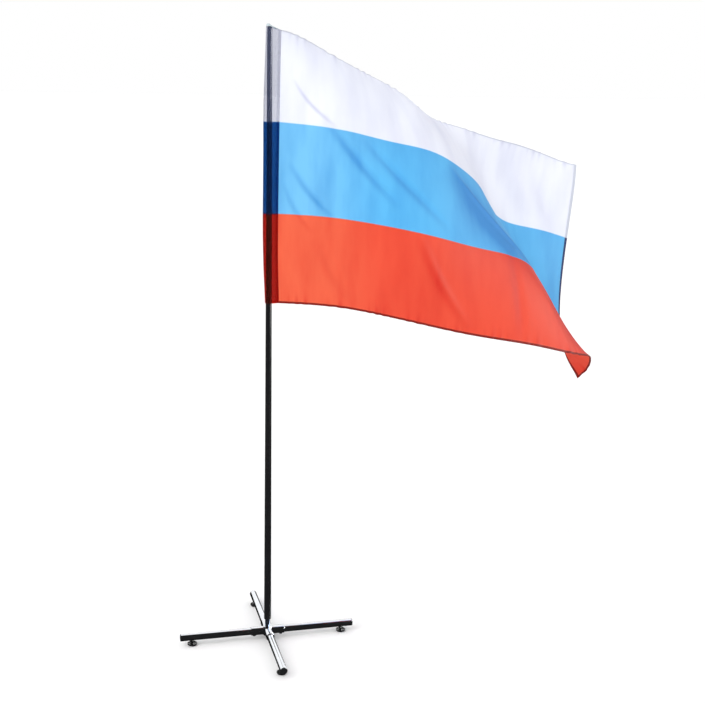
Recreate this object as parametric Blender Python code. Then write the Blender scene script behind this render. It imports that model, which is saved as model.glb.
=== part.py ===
"""Free-standing pole flag: a striped rectangular flag on a tapered pole, in a four-legged tube stand.

Metres, +Z up. The origin lies on the floor, on the pole's axis. The legs lie along +X, +Y, -X and -Y.
"""
import bpy
import bmesh
from math import asin, cos, pi, radians, sin, tau
from mathutils import Matrix, Vector

# ---- Driving dimensions ------------------------------------------------------------------------
FIT = 0.0003             # gap between pieces that seat on each other or run in each other
OVERRUN = 0.010          # how far a cutter runs past what it cuts
CHAMFER = 0.001          # broken edge on plugs, stems and discs

# Stand
TUBE_R = 0.0125          # leg tube, outside
TUBE_WALL = 0.0012
LEG_REACH = 0.310        # pole axis to the leg tube's outer end
SOCKET_WALL = 0.0015     # hub socket around the leg tube
SOCKET_DEPTH = 0.0415    # blind end of a socket's bore to its mouth
SOCKET_FLOOR_WALL = 0.0087   # bearing bore to the blind end of a socket's bore
CORE_WALL = 0.0060       # barrel in the middle of the hub, around the bearings
CORE_RISE = 0.0027       # how far the barrel stands out above and below the sockets
SCREW_R = 0.0030         # grub screw that grips a leg
SCREW_INSET = 0.0120     # a socket's mouth to its grub screw
BOSS_R = 0.0060          # boss around a grub screw, under its socket
BOSS_DROP = 0.0035       # how far the boss stands below the socket
CAP_LIP = 0.0022         # end cap's lip outside the tube
CAP_DEPTH = 0.0140       # end cap's plug inside the tube

# Feet
FOOT_INSET = 0.040       # the leg tube's outer end to the foot's axis
DISC_R = 0.0170          # glide disc
DISC_HEIGHT = 0.0085
DISC_FLAT_R = 0.0085     # flat underside of the disc
COLLAR_STEP = 0.0012     # how far the stem's collar stands out of the thread
COLLAR_HEIGHT = 0.0080
THREAD_R = 0.0040        # M8 thread, as a plain shank
THREAD_REACH = 0.0170    # thread above the collar
SOCKET_IN_DISC = 0.0050  # how deep the stem's lower end sits in the disc
INSERT_WALL = 0.0012     # threaded insert's barrel, in the tube's lower wall
INSERT_LIP = 0.0015      # how far its flange stands out of its barrel
INSERT_FLANGE = 0.0012
INSERT_HEIGHT = 0.0110

# Rotating spindle
BEARING_R = 0.0095       # ball bearing, 10 x 19 x 5 mm
BEARING_BORE_R = 0.0050
BEARING_WIDTH = 0.0050
SHOULDER_LIP = 0.0020    # step in the hub's bore that each bearing seats on
LOWER_SEAT = 0.0060      # barrel's lower face to the lower bearing
UPPER_SEAT = 0.0006      # barrel's upper face to the upper bearing
SPIGOT_R = 0.0090        # spigot that carries the pole
SPIGOT_SHOW = 0.0300     # bare spigot between the hub and the pole
SPIGOT_IN_POLE = 0.1200
SPIGOT_POINT = 0.0030    # height of the spigot's tapered end
SPIGOT_TAPER = 0.0020    # how much that end narrows, on the radius
RING_R = 0.0010          # rubber ring's section
RING_PROUD = 0.0001      # how far a ring stands out of the spigot
BOLT_R = 0.0030
BOLT_HEAD_R = 0.0050
BOLT_HEAD = 0.0034
BOLT_GRIP = 0.0140       # bolt thread inside the spindle
WASHER_R = 0.0062
WASHER = 0.0012
CIRCLIP_WIDTH = 0.0019   # retaining ring, measured along a radius

# Pole
BUSH_WALL = 0.0014       # liner between the spigot and the pole's foot
POLE_WALL = 0.0015
POLE_TIP_R = 0.0083      # outside, at the tip
BUSH_FLANGE = 0.0020
BUSH_DEPTH = 0.1000
SEAT_DEPTH = 0.0120      # plug in the pole that rests on the spigot
TIP_DOME = 0.0040
TIP_PLUG_DEPTH = 0.0150

# Flag
FLAG_TOP = 2.127
HOIST = 0.900            # height of the cloth along the pole
FLY = 1.350              # length of the cloth from the sleeve's seam
FLAG_HEADING = radians(-14.3)   # the flag's direction, turned from +X about the pole
SLEEVE_BACK = 0.0200     # pole axis to the closed side of the sleeve
SLEEVE_SEAM = 0.0340     # pole axis to the seam, where the cloth leaves
SLEEVE_ROUND = 0.0150    # radius of the sleeve's closed side
SLEEVE_CLOTH = 0.0006
SEAM_GAP = 0.0007        # between the sleeve's edge and the cloth's hinge line
CLOTH = 0.0008
PATCH_RISE = 0.0080      # tented top of the sleeve, over the pole's tip
PATCH_TOP_SHARE = 0.45

# The cloth's four stripe edges, from the top hem to the bottom hem. Each is followed from the seam
# to the fly in equal steps: HEADING turns it away about +Z, and DIP drops it, in degrees.
HEADING = ((45, 33, 34, 36, 22, 28, 24),
           (-25, 8, 24, 42, 54, 36, 34),
           (-33, -18, 12, 22, 42, 60, 62),
           (-22, -31, -16, 15, 21, 40, 120))
DIP = ((12, 24, 26, 24, 14, 16, 18),
       (0, 8, 16, 29, 34, 20, 20),
       (0, 1, 11, 16, 25, 34, 28),
       (1, 2, 4, 14, 12, 20, 32))
CLOTH_COLUMNS = 27
CLOTH_ROWS = 12
STEPS_PER_COLUMN = 8

SIDES = 24               # facets round a tube
SMALL_SIDES = 16         # facets round a small part
OUT_OF_STEP = 0.013      # turns crossing round shapes, so that no two of their edges meet

# ---- Places that follow from them --------------------------------------------------------------
TUBE_BORE_R = TUBE_R - TUBE_WALL
SOCKET_BORE_R = TUBE_R + FIT
SOCKET_R = SOCKET_BORE_R + SOCKET_WALL
BEARING_SEAT_R = BEARING_R + FIT
SHOULDER_R = BEARING_R - SHOULDER_LIP
CIRCLIP_R = BEARING_R - CIRCLIP_WIDTH
CORE_R = BEARING_SEAT_R + CORE_WALL
CORE_HALF = SOCKET_R + CORE_RISE
SOCKET_FLOOR = BEARING_SEAT_R + SOCKET_FLOOR_WALL
SOCKET_REACH = SOCKET_FLOOR + SOCKET_DEPTH
SCREW_AT = SOCKET_REACH - SCREW_INSET
LEG_START = SOCKET_FLOOR + FIT
FOOT_AT = LEG_REACH - FOOT_INSET
COLLAR_R = THREAD_R + COLLAR_STEP
INSERT_R = THREAD_R + FIT + INSERT_WALL
INSERT_FLANGE_R = INSERT_R + INSERT_LIP
COLLAR_Z = DISC_HEIGHT + FIT
INSERT_Z = COLLAR_Z + COLLAR_HEIGHT + FIT
TUBE_UNDER_Z = INSERT_Z + INSERT_FLANGE + FIT
LEG_Z = TUBE_UNDER_Z + TUBE_R
CORE_LOW = LEG_Z - CORE_HALF
CORE_TOP = LEG_Z + CORE_HALF
LOWER_BEARING_Z = CORE_LOW + LOWER_SEAT
UPPER_BEARING_Z = CORE_TOP - UPPER_SEAT - BEARING_WIDTH
POLE_BOTTOM = CORE_TOP + SPIGOT_SHOW
BUSH_BORE_R = SPIGOT_R + FIT
POLE_FOOT_R = BUSH_BORE_R + BUSH_WALL + FIT + POLE_WALL
SPIGOT_TOP = POLE_BOTTOM + SPIGOT_IN_POLE
POLE_TOP = FLAG_TOP - TIP_DOME
FLAG_BOTTOM = FLAG_TOP - HOIST
LEG_DIRECTIONS = {"right": 0.0, "back": pi / 2, "left": pi, "front": 3 * pi / 2}


# ---- Materials ---------------------------------------------------------------------------------
def material(name, colour, roughness, metallic=0.0):
    """One Principled material."""
    made = bpy.data.materials.new(name)
    made.use_nodes = True
    shader = made.node_tree.nodes["Principled BSDF"]
    shader.inputs["Base Color"].default_value = (*colour, 1.0)
    shader.inputs["Roughness"].default_value = roughness
    shader.inputs["Metallic"].default_value = metallic
    return made


# ---- Mesh helpers ------------------------------------------------------------------------------
def place(mesh_maker, name, finish, parent=None, location=(0, 0, 0), smooth=True):
    """Turns a filled bmesh into a named object."""
    mesh_maker.normal_update()
    mesh = bpy.data.meshes.new(name)
    mesh_maker.to_mesh(mesh)
    mesh_maker.free()
    if smooth:
        mesh.shade_smooth()
        mesh.set_sharp_from_angle(angle=radians(35))
    mesh.materials.append(finish)
    made = bpy.data.objects.new(name, mesh)
    bpy.context.collection.objects.link(made)
    made.location = location
    made.parent = parent
    return made


def empty(name, parent=None, location=(0, 0, 0), turn=0.0):
    """A pivot or carrier that other objects hang from."""
    made = bpy.data.objects.new(name, None)
    bpy.context.collection.objects.link(made)
    made.location = location
    made.rotation_euler = (0, 0, turn)
    made.parent = parent
    return made


def turned(profile, sides=SIDES, phase=0.0):
    """A closed profile of (radius, height) points, anticlockwise, turned about Z."""
    solid = bmesh.new()
    rings = []
    for radius, height in profile:
        if radius == 0:
            rings.append([solid.verts.new((0, 0, height))] * sides)
        else:
            angles = [tau * k / sides + phase for k in range(sides)]
            rings.append([solid.verts.new((radius * cos(a), radius * sin(a), height)) for a in angles])
    for low, high in zip(rings, rings[1:] + rings[:1]):
        for k in range(sides):
            corners = (low[k], low[k - 1], high[k - 1], high[k])
            corners = tuple(dict.fromkeys(corners))
            if len(corners) > 2:
                solid.faces.new(corners)
    bmesh.ops.recalc_face_normals(solid, faces=solid.faces)
    return solid


def tube_profile(inner, outer, low, high):
    """Profile of a plain ring or tube."""
    return ((inner, low), (outer, low), (outer, high), (inner, high))


def rod_profile(radius, low, high, chamfer=0.0):
    """Profile of a plain rod, its top edge chamfered."""
    if chamfer == 0:
        return ((0, low), (radius, low), (radius, high), (0, high))
    return ((0, low), (radius, low), (radius, high - chamfer), (radius - chamfer, high), (0, high))


def along_x(solid):
    """Lays a shape turned about Z down along +X."""
    bmesh.ops.rotate(solid, verts=solid.verts, matrix=Matrix.Rotation(pi / 2, 3, 'Y'))
    return solid


def cutter(solid, name, parent=None, location=(0, 0, 0)):
    """A shape that only cuts or joins another one."""
    made = place(solid, name, CHROME, parent, location, smooth=False)
    made.hide_render = True
    made.display_type = 'WIRE'
    return made


def boolean(target, tool, operation):
    step = target.modifiers.new(tool.name, 'BOOLEAN')
    step.operation = operation
    step.object = tool


# ---- Stand -------------------------------------------------------------------------------------
def cross_hub():
    """The hub casting: a barrel with four blind sockets, bored for the bearings from both ends."""
    barrel = turned(rod_profile(CORE_R, CORE_LOW, CORE_TOP), phase=OUT_OF_STEP)
    hub = place(barrel, "cross_hub", CHROME)
    for name, turn, steps in (("x", 0.0, 2), ("y", pi / 2, 5)):
        pivot = empty(f"bar_pivot_{name}", turn=turn)
        bar = turned(rod_profile(SOCKET_R, -SOCKET_REACH, SOCKET_REACH), phase=steps * OUT_OF_STEP)
        boolean(hub, cutter(along_x(bar), f"socket_bar_{name}", pivot, (0, 0, LEG_Z)), 'UNION')
    for name, turn in LEG_DIRECTIONS.items():
        pivot = empty(f"boss_pivot_{name}", turn=turn)
        boss = turned(rod_profile(BOSS_R, LEG_Z - SOCKET_R - BOSS_DROP, LEG_Z - SOCKET_BORE_R / 2),
                      SMALL_SIDES, OUT_OF_STEP)
        boolean(hub, cutter(boss, f"boss_{name}", pivot, (SCREW_AT, 0, 0)), 'UNION')
    for name, turn in LEG_DIRECTIONS.items():
        pivot = empty(f"bore_pivot_{name}", turn=turn)
        bore = turned(rod_profile(SOCKET_BORE_R, SOCKET_FLOOR, SOCKET_REACH + OVERRUN), phase=4 * OUT_OF_STEP)
        boolean(hub, cutter(along_x(bore), f"socket_bore_{name}", pivot, (0, 0, LEG_Z)), 'DIFFERENCE')
        hole = turned(rod_profile(SCREW_R + FIT, LEG_Z - SOCKET_R - BOSS_DROP - OVERRUN, LEG_Z),
                      SMALL_SIDES, 2 * OUT_OF_STEP)
        boolean(hub, cutter(hole, f"screw_hole_{name}", pivot, (SCREW_AT, 0, 0)), 'DIFFERENCE')
    barrel_bore = turned(((0, CORE_LOW - OVERRUN),
                          (BEARING_SEAT_R, CORE_LOW - OVERRUN),
                          (BEARING_SEAT_R, LOWER_BEARING_Z + BEARING_WIDTH + FIT),
                          (SHOULDER_R, LOWER_BEARING_Z + BEARING_WIDTH + FIT),
                          (SHOULDER_R, UPPER_BEARING_Z - FIT),
                          (BEARING_SEAT_R, UPPER_BEARING_Z - FIT),
                          (BEARING_SEAT_R, CORE_TOP + OVERRUN),
                          (0, CORE_TOP + OVERRUN)), phase=3 * OUT_OF_STEP)
    boolean(hub, cutter(barrel_bore, "barrel_bore"), 'DIFFERENCE')


def grub_screws():
    for name, turn in LEG_DIRECTIONS.items():
        pivot = empty(f"screw_pivot_{name}", turn=turn)
        top = LEG_Z - TUBE_R - FIT
        point = LEG_Z - SOCKET_R - BOSS_DROP + FIT
        screw = turned(rod_profile(SCREW_R, point, top, CHAMFER / 2), SMALL_SIDES)
        place(screw, f"grub_screw_{name}", STEEL, pivot, (SCREW_AT, 0, 0))


def spindle():
    """The spindle on its two bearings, with the bolt, washer and retaining ring below."""
    for name, low in (("lower", LOWER_BEARING_Z), ("upper", UPPER_BEARING_Z)):
        ring = tube_profile(BEARING_BORE_R, BEARING_R, low, low + BEARING_WIDTH)
        place(turned(ring), f"{name}_bearing", STEEL)
    journal = BEARING_BORE_R - FIT
    groove = RING_R + FIT
    ring_middle = SPIGOT_R + RING_PROUD - RING_R
    ring_heights = (POLE_BOTTOM + BUSH_DEPTH / 4, POLE_BOTTOM + BUSH_DEPTH * 3 / 4)
    bottom = LOWER_BEARING_Z + FIT
    bolt_hole_top = bottom + BOLT_GRIP + CHAMFER
    profile = [(0, bolt_hole_top), (BOLT_R + FIT, bolt_hole_top), (BOLT_R + FIT, bottom), (journal, bottom),
               (journal, CORE_TOP - UPPER_SEAT + FIT), (WASHER_R, CORE_TOP - UPPER_SEAT + FIT),
               (WASHER_R, CORE_TOP + FIT), (SPIGOT_R, CORE_TOP + 2 * FIT)]
    for height in ring_heights:
        profile += [(SPIGOT_R, height - groove), (ring_middle - groove, height - groove),
                    (ring_middle - groove, height + groove), (SPIGOT_R, height + groove)]
    profile += [(SPIGOT_R, SPIGOT_TOP - SPIGOT_POINT), (SPIGOT_R - SPIGOT_TAPER, SPIGOT_TOP),
                (0, SPIGOT_TOP)]
    place(turned(profile), "spindle", CHROME)
    for name, height in zip(("lower", "upper"), ring_heights):
        section = [(ring_middle + RING_R * cos(tau * k / 8), height + RING_R * sin(tau * k / 8))
                   for k in range(8)]
        place(turned(section, SMALL_SIDES), f"spigot_ring_{name}", RUBBER)
    washer_z = LOWER_BEARING_Z - FIT - WASHER
    place(turned(tube_profile(BOLT_R + FIT, WASHER_R, washer_z, washer_z + WASHER)), "spindle_washer", STEEL)
    clip = tube_profile(CIRCLIP_R, BEARING_R, washer_z, washer_z + WASHER)
    place(turned(clip), "bearing_circlip", STEEL)
    head_top = washer_z - FIT
    bolt = ((0, head_top - BOLT_HEAD), (BOLT_HEAD_R, head_top - BOLT_HEAD), (BOLT_HEAD_R, head_top),
            (BOLT_R, head_top), (BOLT_R, bottom + BOLT_GRIP), (0, bottom + BOLT_GRIP))
    place(turned(bolt, SMALL_SIDES), "spindle_bolt", STEEL)


def leg(name, turn):
    """One leg: the tube, its end cap and its foot, laid along the carrier's +X."""
    carrier = empty(f"leg_{name}", None, (0, 0, 0), turn)
    tube = turned(tube_profile(TUBE_BORE_R, TUBE_R, LEG_START, LEG_REACH))
    leg_tube = place(along_x(tube), f"leg_tube_{name}", CHROME, carrier, (0, 0, LEG_Z))
    hole = turned(rod_profile(INSERT_R + FIT, INSERT_Z - OVERRUN, LEG_Z), SMALL_SIDES)
    boolean(leg_tube, cutter(hole, f"insert_hole_{name}", carrier, (FOOT_AT, 0, 0)), 'DIFFERENCE')
    lip = LEG_REACH + FIT
    plug_r = TUBE_BORE_R - FIT
    cap = ((0, LEG_REACH - CAP_DEPTH), (plug_r - CHAMFER, LEG_REACH - CAP_DEPTH),
           (plug_r, LEG_REACH - CAP_DEPTH + 2 * CHAMFER), (plug_r, lip), (TUBE_R, lip),
           (TUBE_R, lip + 0.4 * CAP_LIP), (TUBE_R - 0.35 * CAP_LIP, lip + 0.8 * CAP_LIP),
           (TUBE_R - CAP_LIP, lip + CAP_LIP), (0, lip + CAP_LIP))
    place(along_x(turned(cap)), f"leg_end_cap_{name}", BLACK_PLASTIC, carrier, (0, 0, LEG_Z))
    foot(name, carrier)


def foot(name, carrier):
    """A glide foot: the threaded insert in the tube, the stem in the insert, the disc on the stem."""
    place_at = (FOOT_AT, 0, 0)
    bore = THREAD_R + FIT
    insert = ((bore, INSERT_Z), (INSERT_FLANGE_R, INSERT_Z), (INSERT_FLANGE_R, INSERT_Z + INSERT_FLANGE),
              (INSERT_R, INSERT_Z + INSERT_FLANGE), (INSERT_R, INSERT_Z + INSERT_HEIGHT),
              (bore, INSERT_Z + INSERT_HEIGHT))
    place(turned(insert, SMALL_SIDES), f"foot_insert_{name}", STEEL, carrier, place_at)
    tip = DISC_HEIGHT - SOCKET_IN_DISC + FIT
    thread_top = COLLAR_Z + COLLAR_HEIGHT + THREAD_REACH
    stem = ((0, tip), (THREAD_R, tip), (THREAD_R, COLLAR_Z), (COLLAR_R, COLLAR_Z),
            (COLLAR_R, COLLAR_Z + COLLAR_HEIGHT), (THREAD_R, COLLAR_Z + COLLAR_HEIGHT),
            (THREAD_R, thread_top - CHAMFER), (THREAD_R - CHAMFER, thread_top), (0, thread_top))
    place(turned(stem, SMALL_SIDES), f"foot_stem_{name}", STEEL, carrier, place_at)
    # the underside is an arc from the flat to the rim
    rise = 0.75 * DISC_HEIGHT
    bowl = [(DISC_FLAT_R + (DISC_R - DISC_FLAT_R) * sin(pi / 2 * k / 3), rise * (1 - cos(pi / 2 * k / 3)))
            for k in range(4)]
    floor_of_socket = DISC_HEIGHT - SOCKET_IN_DISC
    disc = [(0, 0), *bowl, (DISC_R, DISC_HEIGHT - CHAMFER), (DISC_R - CHAMFER, DISC_HEIGHT),
            (THREAD_R + FIT, DISC_HEIGHT), (THREAD_R + FIT, floor_of_socket), (0, floor_of_socket)]
    place(turned(disc), f"foot_disc_{name}", BLACK_PLASTIC, carrier, place_at)


# ---- Pole --------------------------------------------------------------------------------------
def pole_radius(height):
    """Outside radius of the tapered pole."""
    share = (height - POLE_BOTTOM) / (POLE_TOP - POLE_BOTTOM)
    return POLE_FOOT_R + (POLE_TIP_R - POLE_FOOT_R) * share


def pole():
    """The tapered pole, the bush and seat plug that carry it on the spigot, and its tip plug."""
    tapered = ((POLE_FOOT_R - POLE_WALL, POLE_BOTTOM), (POLE_FOOT_R, POLE_BOTTOM), (POLE_TIP_R, POLE_TOP),
               (POLE_TIP_R - POLE_WALL, POLE_TOP))
    place(turned(tapered), "pole", BLACK_GLOSS)

    def inside(height):
        return pole_radius(height) - POLE_WALL - FIT

    bush_top = POLE_BOTTOM + BUSH_DEPTH
    bush = ((BUSH_BORE_R, POLE_BOTTOM - FIT - BUSH_FLANGE), (POLE_FOOT_R, POLE_BOTTOM - FIT - BUSH_FLANGE),
            (POLE_FOOT_R, POLE_BOTTOM - FIT), (inside(POLE_BOTTOM), POLE_BOTTOM - FIT),
            (inside(bush_top), bush_top), (BUSH_BORE_R, bush_top))
    place(turned(bush), "pole_foot_bush", BLACK_PLASTIC)
    low = SPIGOT_TOP + FIT
    place(turned(rod_profile(inside(low + SEAT_DEPTH), low, low + SEAT_DEPTH)), "pole_seat_plug", NYLON)
    plug_low = POLE_TOP - TIP_PLUG_DEPTH
    neck = inside(POLE_TOP)
    tip = [(0, plug_low), (neck - CHAMFER, plug_low), (neck, plug_low + 2 * CHAMFER), (neck, POLE_TOP + FIT),
           (POLE_TIP_R, POLE_TOP + FIT)]
    tip += [(POLE_TIP_R * cos(pi / 2 * k / 3), POLE_TOP + FIT + (TIP_DOME - FIT) * sin(pi / 2 * k / 3))
            for k in range(1, 3)]
    tip += [(0, FLAG_TOP)]
    place(turned(tip, SMALL_SIDES), "pole_tip_plug", BLACK_PLASTIC)


# ---- Flag --------------------------------------------------------------------------------------
def sleeve_outline(inset):
    """Plan of the pole sleeve: round behind the pole, tapering to the seam. Anticlockwise."""
    centre = SLEEVE_ROUND - SLEEVE_BACK
    tail = SLEEVE_SEAM - SEAM_GAP
    slope = asin(SLEEVE_ROUND / (tail - centre))
    radius = SLEEVE_ROUND - inset
    apex = tail - inset / sin(slope)
    first = pi / 2 - slope
    arc = [first + (tau - 2 * first) * k / 16 for k in range(17)]
    outline = [(centre + radius * cos(a), radius * sin(a)) for a in arc]
    if inset == 0:
        outline += [(tail, -SLEEVE_CLOTH), (tail, SLEEVE_CLOTH)]
    else:
        outline += [(apex, 0)]
    return outline


def flag_sleeve(carrier):
    """The open pocket along the hoist that the pole runs up."""
    outer = sleeve_outline(0)
    inner = sleeve_outline(SLEEVE_CLOTH)
    # both outlines start and end their arcs at the same angles, so their walls join point to point
    inner += [inner[-1]]
    solid = bmesh.new()
    rings = []
    for outline in (outer, inner):
        for height in (FLAG_BOTTOM, FLAG_TOP):
            made = {point: solid.verts.new((*point, height)) for point in dict.fromkeys(outline)}
            rings.append([made[point] for point in outline])
    outer_low, outer_high, inner_low, inner_high = rings
    loop = (outer_low, outer_high, inner_high, inner_low, outer_low)
    for one, other in zip(loop, loop[1:]):
        for k in range(len(outer)):
            corners = tuple(dict.fromkeys((one[k - 1], one[k], other[k], other[k - 1])))
            if len(corners) > 2:
                solid.faces.new(corners)
    bmesh.ops.recalc_face_normals(solid, faces=solid.faces)
    place(solid, "flag_sleeve", WHITE_CLOTH, carrier)


def sleeve_top_patch(carrier):
    """The sleeve's closed top, tented over the pole's tip."""
    solid = bmesh.new()
    low = FLAG_TOP + FIT
    outline = sleeve_outline(0)
    lower = [solid.verts.new((x, y, low)) for x, y in outline]
    upper = [solid.verts.new((x * PATCH_TOP_SHARE, y * PATCH_TOP_SHARE, low + PATCH_RISE))
             for x, y in outline]
    solid.faces.new(lower)
    solid.faces.new(upper)
    for k in range(len(outline)):
        solid.faces.new((lower[k - 1], lower[k], upper[k], upper[k - 1]))
    bmesh.ops.recalc_face_normals(solid, faces=solid.faces)
    place(solid, "sleeve_top_patch", WHITE_CLOTH, carrier)


def between(values, share):
    """A smooth curve through equally spaced values, read at a share of its length."""
    at = min(max(share, 0), 1) * (len(values) - 1)
    k = min(int(at), len(values) - 2)
    t = at - k
    before, here, there, after = (values[min(max(k + i, 0), len(values) - 1)] for i in (-1, 0, 1, 2))
    return (here + (there - before) * t / 2 + (before - 2.5 * here + 2 * there - after / 2) * t * t
            + (1.5 * here - before / 2 - 1.5 * there + after / 2) * t ** 3)


def stripe_edge(row):
    """Points along one stripe edge, from the seam to the fly."""
    point = Vector((0, 0, FLAG_TOP - HOIST * row / (len(HEADING) - 1)))
    points = [point.copy()]
    steps = CLOTH_COLUMNS * STEPS_PER_COLUMN
    for k in range(steps):
        share = (k + 0.5) / steps
        heading = radians(between(HEADING[row], share))
        dip = radians(between(DIP[row], share))
        point = point + Vector((cos(dip) * cos(heading), cos(dip) * sin(heading), -sin(dip))) * FLY / steps
        if (k + 1) % STEPS_PER_COLUMN == 0:
            points.append(point.copy())
    return points


def across(edges, column, share):
    """The cubic through the four stripe edges at one column."""
    at = share * 3
    weights = (-(at - 1) * (at - 2) * (at - 3) / 6, at * (at - 2) * (at - 3) / 2,
               -at * (at - 1) * (at - 3) / 2, at * (at - 1) * (at - 2) / 6)
    point = Vector((0, 0, 0))
    for weight, edge in zip(weights, edges):
        point += weight * edge[column]
    return point


def flag_cloth(carrier):
    """The flying cloth, as one thin closed sheet hinged at the sleeve's seam."""
    edges = [stripe_edge(row) for row in range(len(HEADING))]
    grid = [[across(edges, column, row / CLOTH_ROWS) for column in range(CLOTH_COLUMNS + 1)]
            for row in range(CLOTH_ROWS + 1)]
    solid = bmesh.new()
    sides = []
    for side in (-1, 1):
        layer = []
        for row in range(CLOTH_ROWS + 1):
            line = []
            for column in range(CLOTH_COLUMNS + 1):
                along = grid[row][min(column + 1, CLOTH_COLUMNS)] - grid[row][max(column - 1, 0)]
                down = grid[min(row + 1, CLOTH_ROWS)][column] - grid[max(row - 1, 0)][column]
                normal = along.cross(down).normalized()
                line.append(solid.verts.new(grid[row][column] + normal * side * CLOTH / 2))
            layer.append(line)
        sides.append(layer)
    back, front = sides
    for row in range(CLOTH_ROWS):
        for column in range(CLOTH_COLUMNS):
            for layer in sides:
                solid.faces.new((layer[row][column], layer[row][column + 1],
                                 layer[row + 1][column + 1], layer[row + 1][column]))
    for column in range(CLOTH_COLUMNS):
        for row in (0, CLOTH_ROWS):
            solid.faces.new((back[row][column], back[row][column + 1],
                             front[row][column + 1], front[row][column]))
    for row in range(CLOTH_ROWS):
        for column in (0, CLOTH_COLUMNS):
            solid.faces.new((back[row][column], back[row + 1][column],
                             front[row + 1][column], front[row][column]))
    bmesh.ops.recalc_face_normals(solid, faces=solid.faces)
    place(solid, "flag_cloth", STRIPED_CLOTH, empty("cloth_hinge", carrier, (SLEEVE_SEAM, 0, 0)))


# ---- Assembly ----------------------------------------------------------------------------------
for old in list(bpy.data.objects):
    bpy.data.objects.remove(old)

CHROME = material("chrome", (0.78, 0.79, 0.81), 0.08, 1.0)
STEEL = material("zinc_steel", (0.55, 0.55, 0.56), 0.35, 1.0)
BLACK_PLASTIC = material("black_plastic", (0.012, 0.012, 0.013), 0.35)
BLACK_GLOSS = material("black_gloss", (0.008, 0.008, 0.009), 0.15)
NYLON = material("nylon", (0.75, 0.74, 0.70), 0.5)
RUBBER = material("rubber", (0.015, 0.015, 0.015), 0.8)
WHITE_CLOTH = material("white_cloth", (0.86, 0.88, 0.95), 0.85)
STRIPED_CLOTH = material("striped_cloth", (0.12, 0.50, 0.85), 0.85)

cross_hub()
grub_screws()
spindle()
for leg_name, leg_turn in LEG_DIRECTIONS.items():
    leg(leg_name, leg_turn)
pole()
flag_carrier = empty("flag", turn=FLAG_HEADING)
flag_sleeve(flag_carrier)
sleeve_top_patch(flag_carrier)
flag_cloth(flag_carrier)
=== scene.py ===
"""A free-standing pole flag: a white, blue and red cloth on a tapered black pole, in a chromed stand.

Built in the order a person puts it together: hub, legs, feet, spindle, pole, sleeve, cloth, sewing.
Metres, +Z up, the origin on the floor on the pole's axis. The legs lie along +X, +Y, -X and -Y.
"""

from math import cos, hypot, pi, radians, sin, tau

import bmesh
import bpy
import numpy as np
from mathutils import Matrix, Vector


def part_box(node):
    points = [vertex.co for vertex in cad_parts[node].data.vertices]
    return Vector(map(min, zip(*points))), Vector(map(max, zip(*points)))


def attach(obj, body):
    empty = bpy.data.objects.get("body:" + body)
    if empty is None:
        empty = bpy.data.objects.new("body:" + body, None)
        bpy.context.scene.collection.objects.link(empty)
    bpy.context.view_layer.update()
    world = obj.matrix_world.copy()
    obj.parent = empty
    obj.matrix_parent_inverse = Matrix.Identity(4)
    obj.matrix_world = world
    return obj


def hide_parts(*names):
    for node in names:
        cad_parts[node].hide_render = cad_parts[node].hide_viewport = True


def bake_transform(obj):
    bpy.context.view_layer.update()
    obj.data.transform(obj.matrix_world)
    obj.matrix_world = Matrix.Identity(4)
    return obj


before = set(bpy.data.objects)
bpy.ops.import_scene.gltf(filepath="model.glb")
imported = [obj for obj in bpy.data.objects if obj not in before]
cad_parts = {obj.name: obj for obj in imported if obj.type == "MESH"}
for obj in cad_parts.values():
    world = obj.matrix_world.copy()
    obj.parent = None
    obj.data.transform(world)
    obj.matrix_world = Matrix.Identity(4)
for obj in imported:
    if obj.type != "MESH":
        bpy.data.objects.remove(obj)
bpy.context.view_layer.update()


# ---- The studio --------------------------------------------------------------------------------
# The flag stands on a wide white floor that runs up into a white room. It is seen from four metres
# away, square on to the flag's flight, from a little below the pole's tip, through a longish lens.
FLAG_HEADING = radians(-14.3)       # the flag flies this way, turned from +X about the pole
CAMERA_PLACE = Vector((-0.7205, -3.9803, 2.036))
CAMERA_DOWN = radians(13.53)
CAMERA_ROLL = radians(1.16)
CAMERA_LENS = 62.45                 # millimetres, on a sensor 36 mm wide
FLOOR_REACH = 60.0


def wired(tree, kind, inputs=None, **settings):
    """Adds a node. Each input is a number, a colour or another node's output, by name or number."""
    made = tree.nodes.new(kind)
    for name, value in settings.items():
        setattr(made, name, value)
    for name, value in (inputs or {}).items():
        if isinstance(value, bpy.types.NodeSocket):
            tree.links.new(value, made.inputs[name])
        else:
            made.inputs[name].default_value = value
    return made


bpy.context.scene.view_settings.view_transform = 'Standard'
camera = bpy.data.objects.new("camera", bpy.data.cameras.new("camera"))
bpy.context.scene.collection.objects.link(camera)
camera.data.lens = CAMERA_LENS
camera.data.sensor_width = 36
camera.data.clip_end = 2 * FLOOR_REACH
camera.matrix_world = (Matrix.Translation(CAMERA_PLACE) @ Matrix.Rotation(FLAG_HEADING, 4, 'Z')
                       @ Matrix.Rotation(pi / 2 - CAMERA_DOWN, 4, 'X')
                       @ Matrix.Rotation(CAMERA_ROLL, 4, 'Z'))
bpy.context.scene.camera = camera

floor_mesh = bpy.data.meshes.new("floor")
floor_mesh.from_pydata([(x * FLOOR_REACH, y * FLOOR_REACH, 0)
                        for x, y in ((-1, -1), (1, -1), (1, 1), (-1, 1))], [], [(0, 1, 2, 3)])
floor = bpy.data.objects.new("floor", floor_mesh)
bpy.context.scene.collection.objects.link(floor)
floor.visible_glossy = False

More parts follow.
